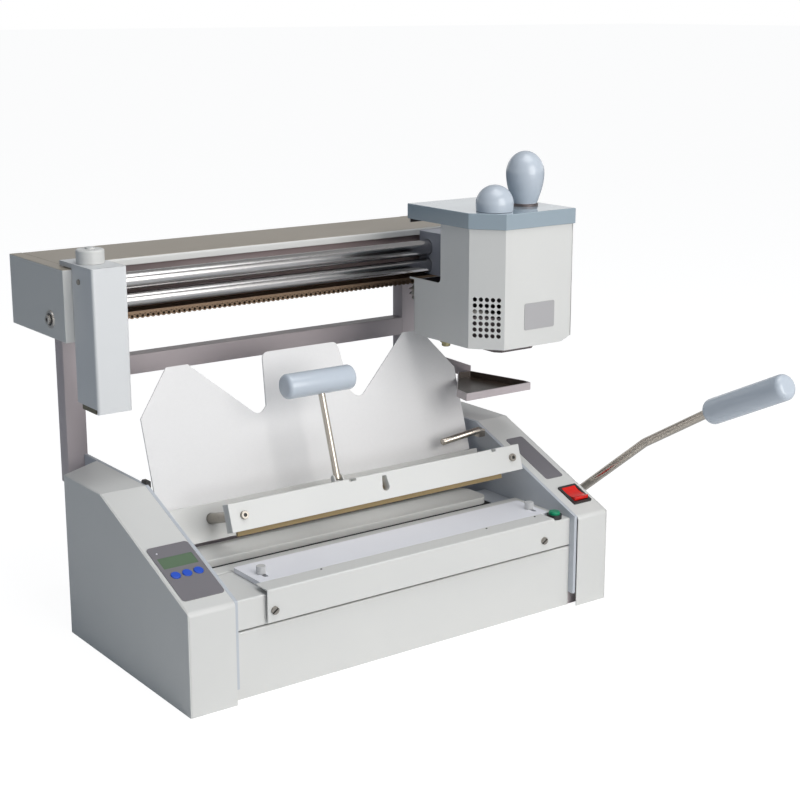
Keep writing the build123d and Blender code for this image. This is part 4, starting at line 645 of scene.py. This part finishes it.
# Painted shade: the cover's top face, above 405.2 mm, turns darker brown.
beam_point = add_node(beam_tree, "ShaderNodeTexCoord")
beam_split = add_node(beam_tree, "ShaderNodeSeparateXYZ", {0: beam_point.outputs["Object"]})
beam_shading_mask = add_node(beam_tree, "ShaderNodeMapRange", {
    "Value": beam_split.outputs["Z"], "From Min": 0.4052, "From Max": 0.4059})
beam_painted_top_shade = add_node(beam_tree, "ShaderNodeMix", {
    "Factor": beam_shading_mask.outputs["Result"], "A": beam_colour.links[0].from_socket,
    "B": (0.31, 0.265, 0.205, 1)}, data_type="RGBA")
beam_tree.links.new(beam_painted_top_shade.outputs["Result"], beam_colour)
cover(beam_coat, *beam_cover_parts)
soften(0.0007, *beam_cover_parts)
spine_coat = finish_for("spine_coat", (0.30, 0.235, 0.235), (0.25, 0.195, 0.19), 0.42, bump=0.2)
spine_front = 285
spine_low = 343
spine_high = 403.4
spine_foot = 15
spine_sheet = 1.5
spine_outline = [(spine_front, spine_high), (spine_front, spine_low),
                 (spine_front + spine_foot, spine_low), (spine_front + spine_foot, spine_low + spine_sheet),
                 (spine_front + spine_sheet, spine_low + spine_sheet),
                 (spine_front + spine_sheet, spine_high)]
end_cap = 2.5
spine_mesh = cut_plate([spine_outline], case_width - 2 * end_cap, standing(at(end_cap, 0, 0), (0, 1, 0)))
make_piece("spine_sheet", spine_mesh, spine_coat, "base", replaced=["beam_spine"])

# Guide shafts: two ground and chromed steel bars along the beam, held in its
# end caps. The copy that is shown has smooth shading.
chrome = finish_for("chrome", (0.56, 0.55, 0.55), (0.48, 0.47, 0.47), 0.2, patch=0.03, grain=0.0006,
                    share=0.2, spread=0.06, bump=0.01, stretch=(0.1, 1, 1), Metallic=1.0)


def smooth_copy(node, material, body):
    """Shows a merged and smoothly shaded copy of a piece of the frame in its place."""
    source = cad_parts[node]
    build = bmesh.new()
    build.from_mesh(source.data)
    build.transform(source.matrix_world)
    mesh = mesh_of(build)
    if "custom_normal" in mesh.attributes:
        mesh.attributes.remove(mesh.attributes["custom_normal"])
    make_piece(f"{node}_smooth", mesh, material, body, replaced=[node], smooth=True)
    mesh.set_sharp_from_angle(angle=radians(62))


smooth_copy("guide_shafts", chrome, "base")

# Drive chain: bronze-coloured roller chain on a bar under the spine, and the
# sprocket that the head carries along it. A tree of nodes sets the links.
bronze = finish_for("bronze", (0.26, 0.18, 0.12), (0.16, 0.11, 0.075), 0.38, patch=0.006, Metallic=0.9)
cover(bronze, "chain_bar")
links = bpy.data.node_groups.new("chain_links", "GeometryNodeTree")
name_sockets(links, "INPUT", {
    "Geometry": "Geometry", "Count": "Int", "Pitch": "Vector", "Start": "Vector",
    "Roller radius": "Float", "Width": "Float", "Finish": "Material"})
links_in = add_node(links, "NodeGroupInput").outputs
links_row = add_node(links, "GeometryNodeMeshLine", {
    "Count": links_in["Count"], "Start Location": links_in["Start"], "Offset": links_in["Pitch"]})
links_roller = add_node(links, "GeometryNodeMeshCylinder", {
    "Vertices": 14, "Radius": links_in["Roller radius"], "Depth": links_in["Width"]})
links_set = add_node(links, "GeometryNodeInstanceOnPoints", {
    "Points": links_row.outputs[0], "Instance": links_roller.outputs["Mesh"], "Rotation": (pi / 2, 0, 0)})
end_tree(links, links_set.outputs[0], links_in["Finish"])
chain_low, chain_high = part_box("drive_chain")
chain_middle = (chain_low + chain_high) / 2
chain_pitch = 6.35
plate_radius = 2.9
plate_width = 2.1
pin_radius = 1.6
chain_width = (chain_high.y - chain_low.y) / mm
chain_count = round(((chain_high.x - chain_low.x) / mm - 2 * plate_radius) / chain_pitch) + 1
chain_start = Vector((chain_low.x + plate_radius * mm, chain_middle.y, chain_middle.z))


def chain_row(start, radius, width):
    """Mesh of a row of round parts along the chain, one at each pin."""
    return grown(links, Count=chain_count, Pitch=(chain_pitch * mm, 0, 0), Start=start,
                 Roller_radius=radius * mm, Width=width * mm, Finish=bronze)


chain_meshes = [chain_row(chain_start, pin_radius, chain_width)]
web_half = 1.6
web_sheet = 1.8
web = oblong(0, -web_half, (chain_count - 1) * chain_pitch, web_half)
for side in (-1, 1):
    row_start = chain_start + Vector((0, side * (chain_width - plate_width) / 2 * mm, 0))
    chain_meshes.append(chain_row(row_start, plate_radius, plate_width))
    web_place = standing(row_start) @ Matrix.Translation((0, 0, -web_sheet / 2 * mm))
    chain_meshes.append(cut_plate([web], web_sheet, web_place))
make_piece("roller_chain", joined(*chain_meshes), bronze, "base",
           replaced=["drive_chain"])
cover(steel, "drive_sprocket", "glue_roller")

# Glue head: a folded housing with one corner cut off. Its walls are flat
# sheets, five by seven round vents are punched in the corner, and its inside
# is painted dark as painted shade. The lid's hinge knuckles sit on its back.
head_dark = finish_for("head_dark", (0.035, 0.03, 0.03), (0.05, 0.045, 0.045), 0.6, bump=0.3)
head_left = 420
head_front = 70
head_back = 213
head_low_back = 204
head_bottom = 295
head_top = 430
head_step = 360
head_corner = (446, 102)
carrier_left = 483
wall = 1.5


def head_wall(outlines, origin, across):
    """A wall of the head, cream outside and dark inside as painted shade; across runs right, seen from
    outside.
    """
    place = standing(origin, across) @ Matrix.Translation((0, 0, -wall * mm))
    mesh = cut_plate(outlines, wall, place)
    mesh.materials.append(cream_coat)
    mesh.materials.append(head_dark)
    outward = Vector(across).normalized().cross(Vector((0, 0, 1)))
    # Faces turned inwards get the dark painted shade.
    for face in mesh.polygons:
        face.material_index = 1 if face.normal.dot(outward) < -0.5 else 0
    return mesh


def ring(x, y, radius, count=16):
    """Outline of a round hole."""
    return [(x + radius * cos(2 * pi * i / count), y + radius * sin(2 * pi * i / count))
            for i in range(count)]


corner_across = Vector((head_corner[0] - head_left, head_front - head_corner[1], 0))
corner_width = corner_across.length
vent_pitch = 6.85
vent_radius = 2.6
vent_middle = 331 - head_bottom
vents = [ring(corner_width / 2 + vent_pitch * column, vent_middle + vent_pitch * row, vent_radius)
         for row in range(-3, 4) for column in range(-2, 3)]
head_height = head_top - head_bottom
corner_wall = head_wall([oblong(0, 0, corner_width, head_height), *vents],
                        at(head_left, head_corner[1], head_bottom), corner_across.normalized())
slant_run = 14.6
slant_rise = 6
front_width = case_width - head_corner[0]
front_outline = [(0, 0), (front_width - slant_run, 0), (front_width, slant_rise),
                 (front_width, head_height), (0, head_height)]
front_wall = head_wall([front_outline], at(head_corner[0], head_front, head_bottom), (1, 0, 0))
low_depth = head_low_back - head_front
full_depth = head_back - head_front
step_height = head_step - head_bottom
right_outline = [(0, slant_rise), (low_depth, slant_rise), (low_depth, step_height),
                 (full_depth, step_height), (full_depth, head_height), (0, head_height)]
right_wall = head_wall([right_outline], at(case_width, head_front, head_bottom), (0, 1, 0))
notch_front = 154
notch_bottom = 362
notch_radius = 6
notch_curve = [(notch_front + notch_radius - notch_radius * sin(a),
                notch_bottom + notch_radius - notch_radius * cos(a))
               for a in [pi / 2 * i / 6 for i in range(7)]]
left_outline = [(head_corner[1], head_bottom), (head_corner[1], head_top), (notch_front, head_top),
                *reversed(notch_curve), (head_back, notch_bottom), (head_back, head_step),
                (head_low_back, head_step), (head_low_back, head_bottom)]
left_wall = head_wall([[(head_back - y, z) for y, z in left_outline]],
                      at(head_left, head_back, 0), (0, -1, 0))
head_width = case_width - head_left
low_rear = head_wall([oblong(0, 0, head_width, step_height)],
                     at(case_width, head_low_back, head_bottom), (-1, 0, 0))
carrier_reach = case_width - carrier_left
strip_low = head_top - 4
rear_wall_outline = [(0, head_step), (carrier_reach, head_step), (carrier_reach, strip_low),
                     (head_width, strip_low), (head_width, head_top), (0, head_top)]
high_rear = head_wall([rear_wall_outline], at(case_width, head_back, 0), (-1, 0, 0))
head_walls = joined(corner_wall, front_wall, right_wall, left_wall, low_rear, high_rear)
make_piece("head_shell", head_walls, cream_coat, "head", replaced=["head_housing"],
           inside=head_dark)
hinge_z = 430.3
hinge_y = 217.6
hinge_inset = 31.25
hinge_places = (head_left + hinge_inset, case_width - hinge_inset)
hinge_reach = 12.4
knuckle = 8
knuckle_radius = 2.5
leaf_depth = 3
leaf_height = 3.2
knuckle_meshes = []
for x in hinge_places:
    lie = along_beam(at(x, hinge_y, hinge_z))
    knuckle_meshes.append(turned(oblong(0, -hinge_reach, 1.2, hinge_reach), lie, 16))
    for start in (-hinge_reach, hinge_reach - knuckle):
        knuckle_meshes.append(turned(oblong(0, start, knuckle_radius, start + knuckle), lie, 20))
        leaf_place = standing(at(x, head_back + leaf_depth, hinge_z - leaf_height))
        leaf = oblong(start, 0, start + knuckle, leaf_height)
        knuckle_meshes.append(cut_plate([leaf], leaf_depth, leaf_place))
make_piece("head_hinges", joined(*knuckle_meshes), cream_coat, "head")
carrier_grey = finish_for("carrier_grey", (0.36, 0.37, 0.42), (0.30, 0.31, 0.35), 0.4, bump=0.2)
cover(carrier_grey, "head_carrier")
soften(0.0008, "head_carrier")

# Plate on the head's front: a bare grey foil with round corners, stuck flat
# on the wall.
foil_grey = finish_for("foil_grey", (0.46, 0.45, 0.455), (0.42, 0.41, 0.415), 0.32, bump=0.05)
foil_outline = rounded(44.3, 30.5, 2)
foil_place = standing(at(496.7, head_front, 329.8))
make_piece("head_foil", cut_plate([foil_outline], foil_sheet, foil_place), foil_grey,
           "head", edge=0.0002)

# Brass stud: a turned stop that hangs under the head's left side, locked by
# its nut.
brass = finish_for("brass", (0.42, 0.38, 0.22), (0.30, 0.27, 0.16), 0.35, patch=0.004, Metallic=1.0)
stud_place = Matrix.Translation(at(449, 180, 277))
stud_profile = [(0, 4), (4.2, 4), (5.2, 5), (5.2, 9), (7, 9), (7, 14), (3, 14), (3, 26), (0, 26)]
make_piece("head_stud", turned(stud_profile, stud_place, 24), brass, "head")

# Glue tank: a metal trough with a dark coat, hung under the head. The glue
# roller turns in it.
tank_skin = finish_for("tank_skin", (0.17, 0.145, 0.145), (0.12, 0.10, 0.10), 0.45, patch=0.02,
                       Metallic=0.5)
cover(tank_skin, "glue_tank")

# Lid of the head: a shallow grey-blue moulding with a square rim and a glossy
# top, on two hinges.
lid_gloss = finish_for("lid_gloss", (0.36, 0.43, 0.48), (0.32, 0.39, 0.44), 0.16, patch=0.05, grain=0.002,
                       bump=0.04, Coat_Weight=0.5, Coat_Roughness=0.06)
lid_overhang = 2
lid_low = 430.3
lid_high = 447.8
head_outline = [(head_left, head_corner[1]), (head_corner[0], head_front), (case_width, head_front),
                (case_width, head_back), (head_left, head_back)]
lid_meshes = [folded_tray(shrunk(head_outline, -lid_overhang), lid_high, lid_low, wall)]
lid_leaf = 2.6
for x in hinge_places:
    lie = along_beam(at(x - knuckle / 2, hinge_y, hinge_z))
    lid_meshes.append(turned(oblong(0, 0, knuckle_radius, knuckle), lie, 20))
    leaf = oblong(-knuckle / 2, 0, knuckle / 2, lid_leaf)
    lid_meshes.append(cut_plate([leaf], lid_leaf, standing(at(x, hinge_y, hinge_z))))
make_piece("lid_moulding", joined(*lid_meshes), lid_gloss, "lid",
           replaced=["head_lid"], edge=0.0012)

# Push handle and ball knob: polished grey-blue plastic, both turned. The
# handle stands on a dark ring, and the knob screws down on the lid.
grip_gloss = finish_for("grip_gloss", (0.56, 0.615, 0.68), (0.51, 0.565, 0.63), 0.26, patch=0.05,
                        grain=0.002, bump=0.05, Coat_Weight=0.3, Coat_Roughness=0.1)


def egg(neck, belly, belly_height, top, foot, steps=14):
    """Profile that swells from a neck to a belly and closes in a round top."""
    turns = [pi / 2 * i / steps for i in range(steps + 1)]
    lower = [(neck + (belly - neck) * sin(a), foot + (belly_height - foot) * i / steps)
             for i, a in enumerate(turns)]
    upper = [(belly * cos(a), belly_height + (top - belly_height) * sin(a)) for a in turns[1:-1]]
    return [*lower, *upper, (0, top)]


handle_place = Matrix.Translation(at(case_width - 30, 120, lid_high))
ring_profile = [(0, 0), (15.4, 0), (15.4, 2.2), (14.6, 3), (0, 3)]
make_piece("handle_ring", turned(ring_profile, handle_place), tank_skin, "lid",
           smooth=True)
handle_profile = [(0, 2.8), (14, 2.8), *egg(14, 21.85, 37, 62.2, 3)]
make_piece("handle_egg", turned(handle_profile, handle_place, 64), grip_gloss, "lid",
           replaced=["push_handle"], smooth=True)
knob_place = Matrix.Translation(at(case_width - 91, 100, lid_high + 0.3))
knob_profile = [(0, 0), *egg(20.75, 21.25, 8, 29.2, 0)]
make_piece("ball_dome", turned(knob_profile, knob_place, 64), grip_gloss, "ball_knob",
           replaced=["ball_knob"], smooth=True)

# Milling carriage: a coated housing on the left end of the shafts, with a
# white cap knob, an olive guard strip below and its cutter inside.
carriage_white = finish_for("carriage_white", (0.73, 0.74, 0.745), (0.68, 0.69, 0.695), 0.4, bump=0.2,
                            Coat_Weight=0.15, Coat_Roughness=0.3)
cover(carriage_white, "carriage_body")
soften(0.0006, "carriage_body")
cover(cream_coat, "cap_knob")
olive = finish_for("olive", (0.16, 0.145, 0.09), (0.12, 0.11, 0.07), 0.5, bump=0.3)
guard_sheet = 1.6
guard_outline = oblong(204, 259.6, 236, 264.8)
guard_place = standing(at(10.6, 0, 0), (0, 1, 0))
make_piece("guard_strip", cut_plate([guard_outline], guard_sheet, guard_place), olive,
           "carriage")
bolt_place = along_beam(at(10, 229, 395), -1)
bolt_profile = [(0, -1), (3, -1), (3, 1.4), (2.6, 1.8), (0, 1.8)]
make_piece("carriage_bolt", turned(bolt_profile, bolt_place, 6), screw_steel, "carriage")
cutter_low, cutter_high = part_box("milling_cutter")
cutter_middle = (cutter_low + cutter_high) / 2
disc_height = 263.6
spindle_low = 262
disc_middle = Vector((cutter_middle.x, cutter_middle.y, disc_height * mm))
cutter_disc = grown(knurl, Radius=17.4 * mm, Height=4 * mm, Ribs=12, Rib_radius=1.5 * mm,
                    Middle=disc_middle, Finish=steel)
spindle_profile = oblong(0, 0, 5, cutter_high.z / mm - spindle_low)
spindle_place = Matrix.Translation((cutter_middle.x, cutter_middle.y, spindle_low * mm))
make_piece("cutter_wheel", joined(cutter_disc, turned(spindle_profile, spindle_place)),
           steel, "cutter", replaced=["milling_cutter"])

# Clamp, back half: a white-coated backing plate, notched at its top, on a
# square jaw that swings on two pivots.
plate_coat = finish_for("plate_coat", (0.80, 0.79, 0.785), (0.74, 0.73, 0.725), 0.5, patch=0.004,
                        grain=0.0011, share=0.6, bump=0.4, depth=0.00015)
cover(plate_coat, "backing_plate")
soften(0.0005, "backing_plate")
cover(cream_coat, "back_jaw")
soften(0.0006, "back_jaw")

# Clamp, front half: a flat jaw with a keyhole slot and two small notches. Two
# socket bolts hold its guide pins, and a brown rubber pad lines its back.
clamp_tilt = radians(18)
clamp_up = Vector((0, sin(clamp_tilt), cos(clamp_tilt)))
clamp_out = Vector((0, -cos(clamp_tilt), sin(clamp_tilt)))


def clamp_point(x, up, out):
    """Point of the clamp, up it and out of its front from its pivots, in millimetres."""
    return at(x, 175, 128) + clamp_up * up * mm + clamp_out * out * mm


def on_clamp(x, up, out):
    """Place at a point of the clamp, with Y up the clamp and Z out of its front."""
    return standing(clamp_point(x, up, out), (1, 0, 0), clamp_up)


jaw_left = 103
jaw_right = 493.5
jaw_low = -11.3
jaw_high = 18.5
jaw_back = 74.4
jaw_depth = 12
rod_x = 250
notch_x = 456
notch_half = 3
notch_floor = jaw_high - 3
jaw_outline = [(jaw_left, jaw_low), (jaw_right, jaw_low), (jaw_right, jaw_high),
               (notch_x + notch_half, jaw_high), (notch_x + notch_half, notch_floor),
               (notch_x - notch_half, notch_floor), (notch_x - notch_half, jaw_high),
               (rod_x + 13, jaw_high), (rod_x + 13, notch_floor), (rod_x + 4, notch_floor),
               (rod_x + 4, jaw_high), (jaw_left, jaw_high)]
slot_x = 300
slot_radius = 4.6
slot_middle = 2.3
slot_half = 2.6
slot_top = slot_middle + 12.5
slot_round = [(slot_x + slot_radius * cos(a), slot_middle + slot_radius * sin(a))
              for a in [pi + pi * i / 12 for i in range(13)]]
slot_outline = [*slot_round, (slot_x + slot_half, slot_top), (slot_x - slot_half, slot_top)]
jaw_meshes = [cut_plate([jaw_outline, slot_outline], jaw_depth, on_clamp(0, 0, jaw_back))]
pin_up = 22.5
pin_out = 69.5
ear_back = 65.8
ear_sheet = 1.8
ear_outline = [(ear_back, 9), (jaw_back + 0.1, 9), (jaw_back + 0.1, pin_up - 4.2),
               (pin_out + 2.8, pin_up + 2.4), (pin_out + 1, pin_up + 3.2),
               (pin_out - 1, pin_up + 3.2), (ear_back, pin_up + 1)]
for x in (rod_x - 6.2, rod_x + 4.4):
    ear_place = standing(clamp_point(x, 0, 0), clamp_out, clamp_up)
    ear_place = ear_place @ Matrix.Translation((0, 0, -ear_sheet * mm))
    jaw_meshes.append(cut_plate([ear_outline], ear_sheet, ear_place))
make_piece("jaw_bar", joined(*jaw_meshes), cream_coat, "front_jaw",
           replaced=["front_jaw"], edge=0.0005)
pad_rubber = finish_for("pad_rubber", (0.34, 0.25, 0.12), (0.25, 0.18, 0.08), 0.7, patch=0.01,
                        grain=0.0012, share=0.5, bump=0.4)
cover(pad_rubber, "jaw_pad")
bolt_up = 4.5
pin_profile = [(0, -82), (5, -82), (5.75, -81), (5.75, 0), (0, 0)]
bolt_head = [(0, 0.6), (2.1, 0.6), (2.1, 3), (4, 3), (4.5, 2.5), (4.5, 0), (0, 0)]
pin_meshes = []
sockets = []
for x in (119.5, 480.5):
    bolt_place = on_clamp(x, bolt_up, jaw_back + jaw_depth)
    pin_meshes.append(turned(pin_profile, on_clamp(x, bolt_up, jaw_back), 32))
    pin_meshes.append(turned(bolt_head, bolt_place, 24))
    # A black hexagon at the bottom of each socket is painted shade.
    sockets.append(turned(oblong(0, 0.6, 2, 1.6), bolt_place, 6))
make_piece("guide_pin_set", joined(*pin_meshes), screw_steel, "front_jaw",
           replaced=["guide_pins"], smooth=True)
make_piece("bolt_sockets", joined(*sockets), black_plastic, "front_jaw")

# Clamp handle: a warm steel rod with a small eye on the jaw's pin, and a
# grey-blue grip across its top.
warm_steel = finish_for("warm_steel", (0.58, 0.53, 0.47), (0.46, 0.42, 0.37), 0.26, patch=0.02,
                        grain=0.0005, share=0.15, spread=0.06, bump=0.0, Metallic=1.0)
rod_length = 128.8 - pin_up
rod_base = clamp_point(rod_x, pin_up, pin_out)
rod_turn = clamp_up.to_track_quat("Z", "Y").to_matrix().to_4x4()
rod_profile = [(0, -3), (2.6, -3), (3.75, -1.6), (3.75, rod_length), (0, rod_length)]
rod = turned(rod_profile, Matrix.Translation(rod_base) @ rod_turn, 32)
cross_pin = turned(oblong(0, -6, 1.8, 6), along_beam(rod_base), 20)
make_piece("clamp_rod", joined(rod, cross_pin), warm_steel, "clamp_handle",
           replaced=["clamp_handle_rod"], smooth=True)


def round_bar(radius, length, corner, steps=6):
    """Profile of a bar with round corners at both ends."""
    turns = [pi / 2 * i / steps for i in range(steps + 1)]
    first = [(radius - corner + corner * sin(a), corner - corner * cos(a)) for a in turns]
    last = [(r, length - h) for r, h in reversed(first)]
    return [(0, 0), *first, *last, (0, length)]


grip_start = 204.5
grip_profile = round_bar(13.8, 87.5, 5)
grip_base = rod_base + clamp_up * rod_length * mm
grip_base.x = at(grip_start, 0, 0).x
make_piece("clamp_grip", turned(grip_profile, along_beam(grip_base), 48), grip_gloss,
           "clamp_handle", replaced=["clamp_handle_grip"], smooth=True)

# Nip lever: a bent chromed rod through the right cabinet with a long
# grey-blue grip.
smooth_copy("lever_rod", warm_steel, "lever")
smooth_copy("lever_grip", grip_gloss, "lever")

# Drip tray: a folded mauve tray on a bracket from the right column. Inside
# it is painted dark brown as painted shade.
tray_low = 222.5
tray_high = 231.5
tray_floor = 224.5
tray_outline = [(447, 138), (case_width, 138), (case_width, 150), (525, 228), (509, 233), (452, 163)]
tray_mesh = folded_tray(tray_outline, tray_low, tray_high, 1.5)
glue_brown = finish_for("glue_brown", (0.10, 0.07, 0.055), (0.06, 0.045, 0.035), 0.3, patch=0.012,
                        bump=0.3)
tray_mesh.materials.append(mauve_coat)
tray_mesh.materials.append(glue_brown)
tray_middle = at(495, 175, 0)
# Inner walls and the floor get the painted shade.
for face in tray_mesh.polygons:
    inwards = face.normal.dot(tray_middle - face.center) > 0 and abs(face.normal.z) < 0.1
    floor_face = face.normal.z > 0.9 and face.center.z < tray_floor * mm
    face.material_index = 1 if inwards or floor_face else 0
bracket_outline = [(523, 227), (524.6, 227), (528.5, 280), (520.6, 345), (519, 345), (526.9, 280)]
bracket = cut_plate([bracket_outline], 16, Matrix.Translation(at(0, 0, tray_low)))
make_piece("tray_with_bracket", joined(tray_mesh, bracket), mauve_coat, "base",
           replaced=["drip_tray"], inside=glue_brown)

# Rest bar: a plain steel bar, fixed in a block at the right inner plate. The
# copy that is shown has smooth shading.
smooth_copy("rest_bar", warm_steel, "base")

# Rubber stop: a small black block of moulded rubber with round corners,
# fixed on the left inner plate.
stop_place = standing(at(57, 194, 180))
make_piece("rubber_stop", cut_plate([rounded(6, 9, 1.5)], 10, stop_place), black_plastic,
           "base", edge=0.0004)
